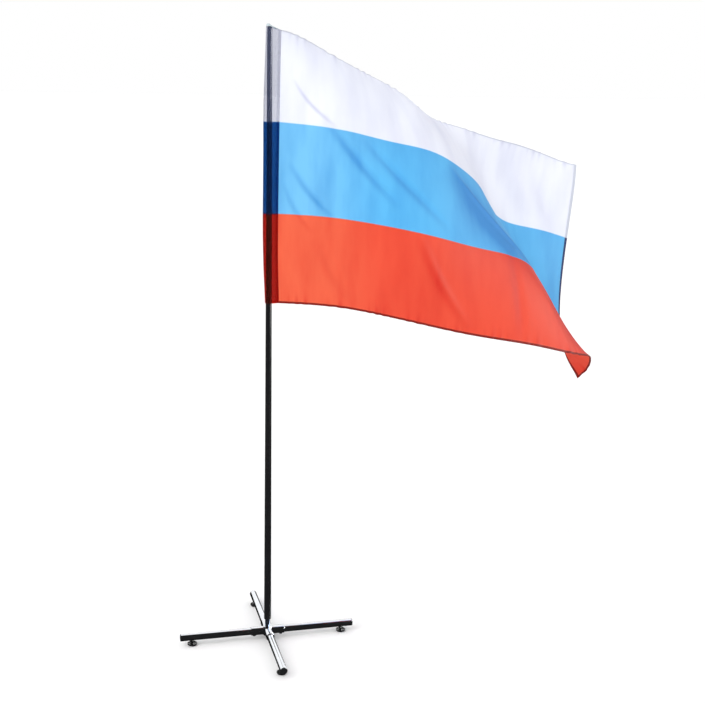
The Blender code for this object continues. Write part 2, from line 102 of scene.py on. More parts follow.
pale = bpy.data.materials.new("pale_floor")
pale.use_nodes = True
tree = pale.node_tree
shader = tree.nodes["Principled BSDF"]
shader.inputs["Roughness"].default_value = 0.9
shader.inputs["Specular IOR Level"].default_value = 0.1
where = wired(tree, "ShaderNodeTexCoord").outputs["Object"]
mottle = wired(tree, "ShaderNodeTexNoise", {"Vector": where, "Scale": 3.0, "Detail": 4.0})
tint = wired(tree, "ShaderNodeValToRGB", {"Fac": mottle.outputs["Fac"]})
tint.color_ramp.elements[0].color = (0.93, 0.93, 0.93, 1)
tint.color_ramp.elements[1].color = (0.95, 0.95, 0.95, 1)
tree.links.new(tint.outputs["Color"], shader.inputs["Base Color"])
floor_mesh.materials.append(pale)

# The room is white all round for cloth and plastic. In polished metal it is a bright wall beyond the
# stand, with the dim floor below it and the unlit half of the room on this side.
DIM_SIDE = 0.015                    # what metal mirrors of the unlit half
BRIGHT_SIDE = 1.15                  # and of the wall
WALL_FOOT = 0.02                    # height of the wall's lower edge, as a share of a unit direction
WALL_BLUR = 0.06                    # height over which that edge fades
WALL_NEAR = 0.20                    # how far round towards this side the bright wall reaches
room = bpy.data.worlds.new("room")
room.use_nodes = True
bpy.context.scene.world = room
tree = room.node_tree
tree.nodes.clear()
ray = wired(tree, "ShaderNodeLightPath")
towards = wired(tree, "ShaderNodeTexCoord").outputs["Generated"]
beyond = wired(tree, "ShaderNodeVectorMath", {0: towards, 1: (-sin(FLAG_HEADING), cos(FLAG_HEADING), 0)},
               operation='DOT_PRODUCT').outputs["Value"]
height = wired(tree, "ShaderNodeSeparateXYZ", {0: towards}).outputs["Z"]
above = wired(tree, "ShaderNodeMapRange", {"Value": height, "From Min": WALL_FOOT,
                                           "From Max": WALL_FOOT + WALL_BLUR},
              interpolation_type='SMOOTHSTEP').outputs["Result"]
far_side = wired(tree, "ShaderNodeMapRange", {"Value": beyond, "From Min": WALL_NEAR - 0.1,
                                              "From Max": WALL_NEAR + 0.1},
                 interpolation_type='SMOOTHSTEP').outputs["Result"]
wall = wired(tree, "ShaderNodeMath", {0: above, 1: far_side}, operation='MULTIPLY').outputs["Value"]
reflected = wired(tree, "ShaderNodeMapRange", {"Value": wall, "To Min": DIM_SIDE,
                                               "To Max": BRIGHT_SIDE}).outputs["Result"]
mirrored = wired(tree, "ShaderNodeBackground", {"Color": reflected})
soft = wired(tree, "ShaderNodeBackground", {"Color": (1.0, 1.0, 1.0, 1), "Strength": 0.87})
white = wired(tree, "ShaderNodeBackground", {"Color": (1, 1, 1, 1), "Strength": 1.0})
lit = wired(tree, "ShaderNodeMixShader", {0: ray.outputs["Is Glossy Ray"], 1: soft.outputs[0],
                                          2: mirrored.outputs[0]})
seen = wired(tree, "ShaderNodeMixShader", {0: ray.outputs["Is Camera Ray"], 1: lit.outputs[0],
                                           2: white.outputs[0]})
wired(tree, "ShaderNodeOutputWorld", {"Surface": seen.outputs[0]})

# A broad sun from behind the left shoulder models the cloth's folds without showing in the chrome.
KEY_PLACE = Vector((-3.4, -2.2, 3.2))
key = bpy.data.lights.new("key_lamp", 'SUN')
key.energy = 1.6
key.angle = radians(50)
key_lamp = bpy.data.objects.new("key_lamp", key)
bpy.context.scene.collection.objects.link(key_lamp)
key_lamp.location = KEY_PLACE
key_lamp.rotation_euler = (-KEY_PLACE).to_track_quat('-Z', 'Y').to_euler()
key_lamp.visible_glossy = False

# A tall softbox on the right, which only shows as a light streak in gloss and chrome.
side = bpy.data.lights.new("side_lamp", 'AREA')
side.shape = 'RECTANGLE'
side.size = 1.7
side.size_y = 2.6
side.energy = 200
side_lamp = bpy.data.objects.new("side_lamp", side)
bpy.context.scene.collection.objects.link(side_lamp)
side_lamp.location = (2.9, -1.2, 1.8)
side_lamp.rotation_euler = Vector((-2.9, 1.2, -0.8)).to_track_quat('-Z', 'Y').to_euler()
side_lamp.visible_camera = False
side_lamp.visible_diffuse = False


# ---- Hub ---------------------------------------------------------------------------------------
# The hub is one chromed casting: a short upright barrel bored for two ball bearings, with four
# sockets crossing it for the legs and a tapped boss under each socket's mouth for its grub screw.
FIT = 0.0003                        # play between pieces that seat or run in each other
BARREL_R = 0.0158
BEARING_SEAT_R = 0.0098
SHOULDER_R = 0.0075
SOCKET_R = 0.0149
SOCKET_WALL = 0.0015
SOCKET_FLOOR = 0.0185
BOSS_R = 0.0060
GRUB_R = 0.0030
EDGE = 0.0006                       # broken edge on castings and turned steel

hub_low, hub_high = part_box("cross_hub")
lower_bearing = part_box("lower_bearing")
upper_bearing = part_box("upper_bearing")
leg_middle = (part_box("leg_tube_right")[0].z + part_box("leg_tube_right")[1].z) / 2
barrel_low = 2 * leg_middle - hub_high.z
grub_at = (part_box("grub_screw_right")[0].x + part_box("grub_screw_right")[1].x) / 2
LEG_TURNS = {"right": 0.0, "back": pi / 2, "left": pi, "front": 3 * pi / 2}


def eased(profile, edge=EDGE, steps=3):
    """The same profile of (radius, height) points with each corner off the axis rounded."""
    rounded = []
    count = len(profile)
    for k, (r, z) in enumerate(profile):
        here = Vector((r, z))
        before = Vector(profile[k - 1]) - here
        after = Vector(profile[(k + 1) % count]) - here
        cut = min(edge, before.length * 0.45, after.length * 0.45)
        straight = abs(before.normalized().cross(after.normalized())) < 0.05
        if r < 1e-6 or straight:
            rounded.append((r, z))
            continue
        start = here + before.normalized() * cut
        end = here + after.normalized() * cut
        for step in range(steps + 1):
            t = step / steps
            point = start * (1 - t) ** 2 + here * 2 * t * (1 - t) + end * t ** 2
            rounded.append((point.x, point.y))
    return rounded


def turned(profile, sides=64, lay=Matrix.Identity(4), phase=0.0):
    """A mesh turned about Z from a closed anticlockwise profile of (radius, height), then moved by lay."""
    solid = bmesh.new()
    rings = []
    for radius, z in profile:
        if radius < 1e-6:
            rings.append([solid.verts.new((0, 0, z))] * sides)
        else:
            angles = [tau * k / sides + phase for k in range(sides)]
            rings.append([solid.verts.new((radius * cos(a), radius * sin(a), z)) for a in angles])
    for low, high in zip(rings, rings[1:] + rings[:1]):
        for k in range(sides):
            corners = tuple(dict.fromkeys((low[k - 1], low[k], high[k], high[k - 1])))
            if len(corners) > 2:
                solid.faces.new(corners)
    bmesh.ops.transform(solid, matrix=lay, verts=solid.verts)
    bmesh.ops.recalc_face_normals(solid, faces=solid.faces)
    return solid


def piece(solid, name, finish, sharp=40):
    """Turns a finished bmesh into a named object at the origin, smooth but for its sharp edges."""
    mesh = bpy.data.meshes.new(name)
    solid.to_mesh(mesh)
    solid.free()
    mesh.shade_smooth()
    mesh.set_sharp_from_angle(angle=radians(sharp))
    mesh.materials.append(finish)
    made = bpy.data.objects.new(name, mesh)
    bpy.context.scene.collection.objects.link(made)
    return made


def fused(body, steps):
    """Joins and cuts solids into body, one after another, and leaves it a plain mesh."""
    tools = []
    for operation, solid in steps:
        tool = piece(solid, "tool", body.data.materials[0])
        tools.append(tool)
        cut = body.modifiers.new("step", 'BOOLEAN')
        cut.operation = operation
        cut.object = tool
        cut.solver = 'EXACT'
    evaluated = body.evaluated_get(bpy.context.evaluated_depsgraph_get())
    mesh = bpy.data.meshes.new_from_object(evaluated)
    body.modifiers.clear()
    body.data = mesh
    for tool in tools:
        bpy.data.objects.remove(tool)
    mesh.shade_smooth()
    mesh.set_sharp_from_angle(angle=radians(40))
    return body


def fitted(made, body, slot, *nodes):
    """Puts a finished piece on its moving body, in place of the plain solids it stands for."""
    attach(made, body)
    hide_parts(*nodes)
    return made


def plated(name, colour, roughness, spread, grain, depth):
    """A bright metal: its polish varies in soft smears, over fine hairlines left by the buffing wheel."""
    made = bpy.data.materials.new(name)
    made.use_nodes = True
    tree = made.node_tree
    shader = tree.nodes["Principled BSDF"]
    shader.inputs["Metallic"].default_value = 1.0
    where = wired(tree, "ShaderNodeTexCoord").outputs["Object"]
    smear = wired(tree, "ShaderNodeTexNoise", {"Vector": where, "Scale": 28.0, "Detail": 5.0,
                                               "Roughness": 0.6})
    polish = wired(tree, "ShaderNodeMapRange", {"Value": smear.outputs["Fac"], "From Min": 0.3,
                                                "From Max": 0.75, "To Min": roughness,
                                                "To Max": roughness + spread})
    tree.links.new(polish.outputs["Result"], shader.inputs["Roughness"])
    cloud = wired(tree, "ShaderNodeValToRGB", {"Fac": smear.outputs["Fac"]})
    cloud.color_ramp.elements[0].position = 0.3
    cloud.color_ramp.elements[0].color = (*[c * 0.93 for c in colour], 1)
    cloud.color_ramp.elements[1].position = 0.7
    cloud.color_ramp.elements[1].color = (*colour, 1)
    tree.links.new(cloud.outputs["Color"], shader.inputs["Base Color"])
    hairlines = wired(tree, "ShaderNodeTexNoise", {"Vector": where, "Scale": grain, "Detail": 3.0})
    bump = wired(tree, "ShaderNodeBump", {"Height": hairlines.outputs["Fac"], "Strength": 0.25,
                                          "Distance": depth})
    tree.links.new(bump.outputs["Normal"], shader.inputs["Normal"])
    return made


chrome = plated("chrome", (0.83, 0.85, 0.88), 0.05, 0.07, 1800, 0.000004)


def hub_casting():
    barrel = piece(turned(eased(((0, barrel_low), (BARREL_R, barrel_low), (BARREL_R, hub_high.z),
                                 (0, hub_high.z))), phase=0.013), "hub", chrome)
    reach = hub_high.x
    across = ((0, -reach), (SOCKET_R, -reach), (SOCKET_R, reach), (0, reach))
    bar = [(r, z) for r, z in eased(across, 0.0009)]
    steps = []
    for turn, phase in ((0.0, 0.026), (pi / 2, 0.065)):
        lay = (Matrix.Translation((0, 0, leg_middle)) @ Matrix.Rotation(turn, 4, 'Z')
               @ Matrix.Rotation(pi / 2, 4, 'Y'))
        steps.append(('UNION', turned(bar, lay=lay, phase=phase)))
    for turn in LEG_TURNS.values():
        lay = Matrix.Rotation(turn, 4, 'Z') @ Matrix.Translation((grub_at, 0, 0))
        boss = eased(((0, hub_low.z), (BOSS_R, hub_low.z), (BOSS_R, leg_middle - SOCKET_R / 2),
                      (0, leg_middle - SOCKET_R / 2)))
        steps.append(('UNION', turned(boss, 40, lay, 0.017)))
    for turn in LEG_TURNS.values():
        lay = (Matrix.Translation((0, 0, leg_middle)) @ Matrix.Rotation(turn, 4, 'Z')
               @ Matrix.Rotation(pi / 2, 4, 'Y'))
        bore_r = SOCKET_R - SOCKET_WALL
        mouth = ((0, SOCKET_FLOOR), (bore_r, SOCKET_FLOOR), (bore_r, reach - 0.0005),
                 (bore_r + 0.002, reach + 0.0015), (0, reach + 0.0015))
        steps.append(('DIFFERENCE', turned(mouth, lay=lay, phase=0.052)))
        lay = Matrix.Rotation(turn, 4, 'Z') @ Matrix.Translation((grub_at, 0, 0))
        hole = ((0, hub_low.z - 0.01), (GRUB_R + FIT, hub_low.z - 0.01), (GRUB_R + FIT, leg_middle),
                (0, leg_middle))
        steps.append(('DIFFERENCE', turned(hole, 32, lay, 0.029)))
    bore = ((0, barrel_low - 0.01), (BEARING_SEAT_R, barrel_low - 0.01),
            (BEARING_SEAT_R, lower_bearing[1].z + FIT), (SHOULDER_R, lower_bearing[1].z + FIT),
            (SHOULDER_R, upper_bearing[0].z - FIT), (BEARING_SEAT_R, upper_bearing[0].z - FIT),
            (BEARING_SEAT_R, hub_high.z + 0.01), (0, hub_high.z + 0.01))
    steps.append(('DIFFERENCE', turned(bore, phase=0.039)))
    return fused(barrel, steps)


fitted(hub_casting(), "hub", "chrome", "cross_hub")


# ---- Grub screws, bearings and fastenings ------------------------------------------------------
# Zinc-plated steel: a socket-headed grub screw under each leg, two ball bearings in the barrel, the
# ring that keeps them in, and the washer and bolt that hold the spindle up against them.
zinc = plated("zinc_plate", (0.62, 0.63, 0.61), 0.26, 0.22, 900, 0.00001)
KEY_R = 0.0017                      # hexagon socket in a grub screw, across its corners
KEY_DEPTH = 0.0025


def grub_screw(name, turn):
    low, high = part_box(f"grub_screw_{name}")
    lay = Matrix.Rotation(turn, 4, 'Z') @ Matrix.Translation((grub_at, 0, 0))
    shank = ((0, low.z), (GRUB_R, low.z), (GRUB_R, high.z), (0, high.z))
    screw = piece(turned(eased(shank, 0.0005), 40, lay), f"grub_screw_{name}_socketed", zinc)
    key = ((0, low.z - 0.001), (KEY_R, low.z - 0.001), (KEY_R, low.z + KEY_DEPTH), (0, low.z + KEY_DEPTH))
    fitted(fused(screw, [('DIFFERENCE', turned(key, 6, lay))]), "hub", "zinc_steel", f"grub_screw_{name}")


for leg_name, leg_turn in LEG_TURNS.items():
    grub_screw(leg_name, leg_turn)

for node in ("lower_bearing", "upper_bearing", "bearing_circlip", "spindle_washer", "spindle_bolt"):
    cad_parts[node].data.materials.clear()
    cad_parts[node].data.materials.append(zinc)


# ---- Legs --------------------------------------------------------------------------------------
# Four chromed steel tubes, 25 mm across and seamless outside, pushed into the hub's sockets. A hole
# in the underside takes the foot's insert. A black moulded cap plugs each open end.
TUBE_R = 0.0125
TUBE_WALL = 0.0012
CAP_LIP_R = 0.0125
CAP_DISH = 0.0006                   # how far the cap's face is hollowed
INSERT_R = 0.0055


def moulded(name, colour, roughness, grain, depth):
    """A moulded black or natural plastic with a fine, even grain and faint flow marks."""
    made = bpy.data.materials.new(name)
    made.use_nodes = True
    tree = made.node_tree
    shader = tree.nodes["Principled BSDF"]
    shader.inputs["Specular IOR Level"].default_value = 0.45
    where = wired(tree, "ShaderNodeTexCoord").outputs["Object"]
    flow = wired(tree, "ShaderNodeTexNoise", {"Vector": where, "Scale": 45.0, "Detail": 3.0})
    shine = wired(tree, "ShaderNodeMapRange", {"Value": flow.outputs["Fac"], "To Min": roughness - 0.08,
                                               "To Max": roughness + 0.10})
    tree.links.new(shine.outputs["Result"], shader.inputs["Roughness"])
    shade = wired(tree, "ShaderNodeValToRGB", {"Fac": flow.outputs["Fac"]})
    shade.color_ramp.elements[0].color = (*[c * 0.8 for c in colour], 1)
    shade.color_ramp.elements[1].color = (*[c * 1.2 for c in colour], 1)
    tree.links.new(shade.outputs["Color"], shader.inputs["Base Color"])
    pits = wired(tree, "ShaderNodeTexNoise", {"Vector": where, "Scale": grain, "Detail": 2.0})
    bump = wired(tree, "ShaderNodeBump", {"Height": pits.outputs["Fac"], "Strength": 0.4,
                                          "Distance": depth})
    tree.links.new(bump.outputs["Normal"], shader.inputs["Normal"])
    return made


black_plastic = moulded("black_plastic", (0.010, 0.010, 0.011), 0.36, 1400, 0.00004)


def leg(name, turn):
    """The tube and its end cap, laid along +X and turned to the leg's direction."""
    facing = Matrix.Rotation(turn, 4, 'Z')
    along = facing @ Matrix.Translation((0, 0, leg_middle)) @ Matrix.Rotation(pi / 2, 4, 'Y')
    start = SOCKET_FLOOR + FIT
    low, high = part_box(f"leg_tube_{name}")
    end = max(abs(low.x), abs(high.x), abs(low.y), abs(high.y))
    tube = ((TUBE_R - TUBE_WALL, start), (TUBE_R, start), (TUBE_R, end), (TUBE_R - TUBE_WALL, end))
    shell = piece(turned(eased(tube, 0.0004), 72, along), f"leg_{name}", chrome)
    insert_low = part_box(f"foot_insert_{name}")[0].z
    inward = facing @ Matrix.Translation((FOOT_AT, 0, 0))
    hole = ((0, insert_low - 0.01), (INSERT_R + FIT, insert_low - 0.01), (INSERT_R + FIT, leg_middle),
            (0, leg_middle))
    fused(shell, [('DIFFERENCE', turned(hole, 36, inward, 0.011))])
    fitted(shell, f"leg_{name}", "chrome", f"leg_tube_{name}")
    low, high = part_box(f"leg_end_cap_{name}")
    spans = sorted(abs(v) for v in (low.x, low.y, high.x, high.y))
    face, plug = spans[-1], spans[-2]
    lip = end + FIT
    plug_r = TUBE_R - TUBE_WALL - FIT
    cap = ((0, plug), (plug_r - 0.001, plug), (plug_r, plug + 0.002), (plug_r, lip), (CAP_LIP_R, lip),
           (CAP_LIP_R, lip + 0.0008), (CAP_LIP_R - 0.0012, face - 0.0003), (CAP_LIP_R - 0.0026, face),
           (CAP_LIP_R - 0.0040, face - CAP_DISH), (0.0012, face - CAP_DISH), (0, face - CAP_DISH * 0.6))
    fitted(piece(turned(eased(cap, 0.0004), 56, along), f"leg_cap_{name}", black_plastic),
           f"leg_{name}", "black_plastic", f"leg_end_cap_{name}")


foot_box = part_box("foot_disc_right")
FOOT_AT = (foot_box[0].x + foot_box[1].x) / 2
for leg_name, leg_turn in LEG_TURNS.items():
    leg(leg_name, leg_turn)


# ---- Feet --------------------------------------------------------------------------------------
# A flanged threaded insert is pressed into the leg's underside. The foot's M8 stem screws up into
# it, and a black moulded saucer turns on the stem's lower end and stands on the floor.
THREAD_R = 0.0040
THREAD_PITCH = 0.00125
THREAD_DEPTH = 0.0006
COLLAR_R = 0.0052
SAUCER_R = 0.0170
SAUCER_FLAT_R = 0.0085
GROOVE_R = (0.0085, 0.0140)         # hollow ring round the top of the saucer
GROOVE_DEPTH = 0.0030
polished_black = moulded("polished_black", (0.010, 0.010, 0.011), 0.10, 1400, 0.00001)
polished_black.node_tree.nodes["Principled BSDF"].inputs["Specular IOR Level"].default_value = 0.9
black_steel = plated("blackened_steel", (0.10, 0.10, 0.105), 0.28, 0.2, 900, 0.00001)


def threaded_stem(low, high, collar_low, collar_high):
    """The foot's stem: a plain lower end, a collar, and a cut thread above it."""
    sides = 28
    heights = [low, collar_low]
    radii = [THREAD_R, THREAD_R]
    for z, r in ((collar_low, COLLAR_R - 0.0004), (collar_low + 0.0004, COLLAR_R),
                 (collar_high - 0.0004, COLLAR_R), (collar_high, COLLAR_R - 0.0004),
                 (collar_high, THREAD_R)):
        heights.append(z)
        radii.append(r)
    steps = round((high - 0.001 - collar_high) / (THREAD_PITCH / 5))
    cut = [collar_high + 0.0002 + (high - 0.001 - collar_high) * k / steps for k in range(steps)]
    solid = bmesh.new()
    rings = [[solid.verts.new((r * cos(tau * k / sides), r * sin(tau * k / sides), z)) for k in range(sides)]
             for z, r in zip(heights, radii)]
    for z in cut:
        ring = []
        for k in range(sides):
            turn_share = (z / THREAD_PITCH - k / sides) % 1.0
            depth = THREAD_DEPTH * abs(2 * turn_share - 1)
            fade = min(1.0, (z - collar_high) / 0.0015, (high - z) / 0.002)
            r = THREAD_R - depth * fade
            ring.append(solid.verts.new((r * cos(tau * k / sides), r * sin(tau * k / sides), z)))
        rings.append(ring)
    end_r = THREAD_R - 0.001
    rings.append([solid.verts.new((end_r * cos(tau * k / sides), end_r * sin(tau * k / sides), high))
                  for k in range(sides)])
    for one, other in zip(rings, rings[1:]):
        for k in range(sides):
            solid.faces.new((one[k - 1], one[k], other[k], other[k - 1]))
    solid.faces.new(list(reversed(rings[0])))
    solid.faces.new(rings[-1])
    bmesh.ops.recalc_face_normals(solid, faces=solid.faces)
    return solid


def foot(name, turn):
    inward = Matrix.Rotation(turn, 4, 'Z') @ Matrix.Translation((FOOT_AT, 0, 0))
    low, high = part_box(f"foot_insert_{name}")
    flange_r = (high - low).x / 2
    flange_top = low.z + 0.0012
    bore = THREAD_R + FIT
    insert = ((bore, low.z), (flange_r, low.z), (flange_r, flange_top), (INSERT_R, flange_top),
              (INSERT_R, high.z), (bore, high.z))
    fitted(piece(turned(eased(insert, 0.0004), 48, inward), f"insert_{name}", zinc),
           f"leg_{name}", "zinc_steel", f"foot_insert_{name}")
    insert_low = low.z
    low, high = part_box(f"foot_stem_{name}")
    saucer_low, saucer_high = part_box(f"foot_disc_{name}")
    stem = threaded_stem(low.z, high.z, saucer_high.z + FIT, insert_low - FIT)
    bmesh.ops.transform(stem, matrix=inward, verts=stem.verts)
    fitted(piece(stem, f"stem_{name}", black_steel, 60), f"foot_stem_{name}", "zinc_steel",
           f"foot_stem_{name}")
    top = saucer_high.z
    bowl = [(SAUCER_FLAT_R + (SAUCER_R - SAUCER_FLAT_R) * sin(pi / 2 * k / 8),
             0.75 * top * (1 - cos(pi / 2 * k / 8))) for k in range(9)]
    inner, outer = GROOVE_R
    socket = low.z - FIT
    saucer = [(0, saucer_low.z), *bowl, (SAUCER_R, top), (outer + 0.0008, top),
              (outer, top - GROOVE_DEPTH), (inner, top - GROOVE_DEPTH), (inner - 0.0012, top),
              (bore, top), (bore, socket), (0, socket)]
    fitted(piece(turned(eased(saucer, 0.0005), 64, inward), f"saucer_{name}", polished_black),
           f"foot_disc_{name}", "black_plastic", f"foot_disc_{name}")


for leg_name, leg_turn in LEG_TURNS.items():
    foot(leg_name, leg_turn)


# ---- Spindle -----------------------------------------------------------------------------------
# A turned and chromed steel spindle runs in the bearings, so that the flag turns with the wind. Its
# spigot stands up out of the hub to carry the pole, and two rubber rings take up the rattle.
SPIGOT_R = 0.0090
JOURNAL_R = 0.0047
RING_GROOVE = 0.0013

rubber = moulded("rubber", (0.014, 0.014, 0.014), 0.70, 700, 0.00006)
spindle_low, spindle_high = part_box("spindle")
rings = [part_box("spigot_ring_lower"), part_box("spigot_ring_upper")]
bolt_r = 0.0033
bolt_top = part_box("spindle_bolt")[1].z + 0.001
seat = upper_bearing[1].z + FIT
washer_r = 0.0062
profile = [(0, bolt_top), (bolt_r, bolt_top), (bolt_r, spindle_low.z), (JOURNAL_R, spindle_low.z),
           (JOURNAL_R, seat), (washer_r, seat), (washer_r, hub_high.z + FIT),
           (SPIGOT_R, hub_high.z + 2 * FIT)]
for low, high in rings:
    middle = (low.z + high.z) / 2
    profile += [(SPIGOT_R, middle - RING_GROOVE), (SPIGOT_R - 0.0021, middle - RING_GROOVE),
                (SPIGOT_R - 0.0021, middle + RING_GROOVE), (SPIGOT_R, middle + RING_GROOVE)]
profile += [(SPIGOT_R, spindle_high.z - 0.003), (SPIGOT_R - 0.002, spindle_high.z), (0, spindle_high.z)]
satin_chrome = plated("satin_chrome", (0.32, 0.39, 0.52), 0.24, 0.12, 1800, 0.000004)
fitted(piece(turned(eased(profile, 0.0004), 72), "spindle_turned", satin_chrome), "spindle", "chrome",
       "spindle")

for name in ("lower", "upper"):
    low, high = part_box(f"spigot_ring_{name}")
    section_r = (high.z - low.z) / 2
    ring_r = high.x - section_r
    middle = (low.z + high.z) / 2
    section = [(ring_r + section_r * cos(tau * k / 16), middle + section_r * sin(tau * k / 16))
               for k in range(16)]
    fitted(piece(turned(section, 56), f"rubber_ring_{name}", rubber), "spindle", "rubber",
           f"spigot_ring_{name}")


# ---- Pole --------------------------------------------------------------------------------------
# One tapered tube, lacquered glossy black. A flanged bush lines its foot and slides over the spigot,
# a nylon plug inside rests on the spigot's top, and a small domed plug closes the tip.
POLE_WALL = 0.0015

pole_low, pole_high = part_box("pole")
POLE_FOOT_R = pole_high.x
POLE_TIP_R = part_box("pole_tip_plug")[1].x


def pole_radius(z):
    """Outside radius of the pole at a height."""
    return POLE_FOOT_R + (POLE_TIP_R - POLE_FOOT_R) * (z - pole_low.z) / (pole_high.z - pole_low.z)


def lacquered():
    """Deep black lacquer: a glassy skin with slight orange peel, faint smears and a little dust."""
    made = bpy.data.materials.new("black_lacquer")
    made.use_nodes = True
    tree = made.node_tree
    shader = tree.nodes["Principled BSDF"]
    shader.inputs["Coat Weight"].default_value = 0.6
    shader.inputs["Coat Roughness"].default_value = 0.08
    where = wired(tree, "ShaderNodeTexCoord").outputs["Object"]
    stretched = wired(tree, "ShaderNodeMapping", {"Vector": where,
                                                  "Scale": (1.0, 1.0, 0.12)}).outputs["Vector"]
    smear = wired(tree, "ShaderNodeTexNoise", {"Vector": stretched, "Scale": 60.0, "Detail": 4.0})
    shine = wired(tree, "ShaderNodeMapRange", {"Value": smear.outputs["Fac"], "To Min": 0.16,
                                               "To Max": 0.34})
    tree.links.new(shine.outputs["Result"], shader.inputs["Roughness"])
    shade = wired(tree, "ShaderNodeValToRGB", {"Fac": smear.outputs["Fac"]})
    shade.color_ramp.elements[0].color = (0.006, 0.006, 0.007, 1)
    shade.color_ramp.elements[1].color = (0.013, 0.013, 0.014, 1)
    tree.links.new(shade.outputs["Color"], shader.inputs["Base Color"])
    peel = wired(tree, "ShaderNodeTexNoise", {"Vector": where, "Scale": 420.0, "Detail": 1.0})
    bump = wired(tree, "ShaderNodeBump", {"Height": peel.outputs["Fac"], "Strength": 0.15,
                                          "Distance": 0.00005})
    tree.links.new(bump.outputs["Normal"], shader.inputs["Normal"])
    return made


black_lacquer = lacquered()
nylon = moulded("nylon", (0.60, 0.59, 0.55), 0.42, 1100, 0.00003)
STATIONS = 24                       # rings of faces up the pole
outside = [(pole_radius(z), z) for z in
           [pole_low.z + (pole_high.z - pole_low.z) * k / STATIONS for k in range(STATIONS + 1)]]
tube = [(POLE_FOOT_R - POLE_WALL, pole_low.z), *outside, (POLE_TIP_R - POLE_WALL, pole_high.z)]
fitted(piece(turned(eased(tube, 0.0005), 72), "pole_tube", black_lacquer), "pole", "black_gloss", "pole")

bush_low, bush_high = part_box("pole_foot_bush")
bush_bore = SPIGOT_R + FIT
flange_top = pole_low.z - FIT
bush = ((bush_bore, bush_low.z), (POLE_FOOT_R, bush_low.z), (POLE_FOOT_R, flange_top),
        (pole_radius(pole_low.z) - POLE_WALL - FIT, flange_top),
        (pole_radius(bush_high.z) - POLE_WALL - FIT, bush_high.z), (bush_bore, bush_high.z))
fitted(piece(turned(eased(bush, 0.0004), 72), "foot_bush", black_plastic), "pole", "black_plastic",
       "pole_foot_bush")

plug_low, plug_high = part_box("pole_seat_plug")
seat_plug = ((0, plug_low.z), (plug_high.x, plug_low.z), (plug_high.x, plug_high.z), (0, plug_high.z))
fitted(piece(turned(eased(seat_plug, 0.0008), 48), "seat_plug", nylon), "pole", "nylon", "pole_seat_plug")

tip_low, tip_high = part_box("pole_tip_plug")
neck = POLE_TIP_R - POLE_WALL - FIT
shoulder = pole_high.z + FIT
dome = [(POLE_TIP_R * cos(pi / 2 * k / 8), shoulder + (tip_high.z - shoulder) * sin(pi / 2 * k / 8))
        for k in range(9)]
tip = [(0, tip_low.z), (neck - 0.001, tip_low.z), (neck, tip_low.z + 0.002), (neck, shoulder), *dome]
fitted(piece(turned(tip, 56), "tip_plug", black_plastic), "pole", "black_plastic", "pole_tip_plug")


# ---- Pole sleeve -------------------------------------------------------------------------------
# The cloth's hoist edge is folded back round the pole and sewn down, which leaves a flat pocket of
# thin woven polyester. The light comes through it, so the pole shows as a dark band inside, and the
# turned-in edge along the seam as a narrower one. Its top is closed by a small tented patch.
HOIST = 0.900
FLY = 1.350
SEAM_AT = 0.0340                    # the cloth's hinge line, from the pole's axis
SLEEVE_CLOTH = 0.0004
SLEEVE_PLAY = 0.0016                # free room between the pole and the pocket's sides
TURNED_IN = 0.0100                  # width of the folded edge along the seam
FOLD_REACH = (12, 16, 20, 20, 20.5, 21, 18.5, 13)     # pole's axis to the fold, top to bottom, mm
SEAM_REACH = (37, 35, 33, 31.5, 30.5, 30.5, 34)       # pole's axis to the seam, top to bottom, mm
BOTTOM_HEM = 0.0075
WEAVE = 0.0006                      # pitch of the threads in the weave
SLEEVE_ROWS = 120
TOP_SAG = 0.0110                    # the sleeve's upper edge runs down from the pole to the seam
SAG_LENGTH = 0.15                   # and the pull fades out over this length
WALL_POINTS = 30                    # points along each side of the pocket

FLAG_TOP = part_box("flag_sleeve")[1].z
heading = Vector((cos(FLAG_HEADING), sin(FLAG_HEADING), 0))
away = Vector((-sin(FLAG_HEADING), cos(FLAG_HEADING), 0))


def between(values, share):
    """A smooth curve through equally spaced values, read at a share from 0 to 1."""
    spans = len(values) - 1
    x = min(max(share, 0.0), 1.0) * spans
    k = min(int(x), spans - 1)
    t = x - k
    a, b, c, d = (values[min(max(k + j, 0), spans)] for j in (-1, 0, 1, 2))
    return 0.5 * (2 * b + (c - a) * t + (2 * a - 5 * b + 4 * c - d) * t ** 2
                  + (3 * b - a - 3 * c + d) * t ** 3)


def seam_reach(down):
    """Pole's axis to the seam, at a distance down the hoist."""
    return between(SEAM_REACH, down / HOIST) / 1000


def sag(x, down):
    """How far the cloth has slipped down, at a distance from the pole's axis."""
    return TOP_SAG * max(0.0, min(1.0, x / seam_reach(down))) * max(0.0, 1 - down / SAG_LENGTH)


def pocket_half(x, down, inset):
    """Half the pocket's thickness at a distance along the flag from the pole's axis."""
    full = pole_radius(FLAG_TOP - down) + SLEEVE_PLAY + SLEEVE_CLOTH
    seam = seam_reach(down)
    fold = between(FOLD_REACH, down / HOIST) / 1000
    if x > 0:
        half = full * max(0.0, cos(pi / 2 * min(1.0, x / seam))) ** 1.7 + SLEEVE_CLOTH * 1.2
    else:
        half = (full + SLEEVE_CLOTH * 1.2) * max(0.0, 1 - (x / fold) ** 2) ** 0.5
    return max(0.0, half - inset)


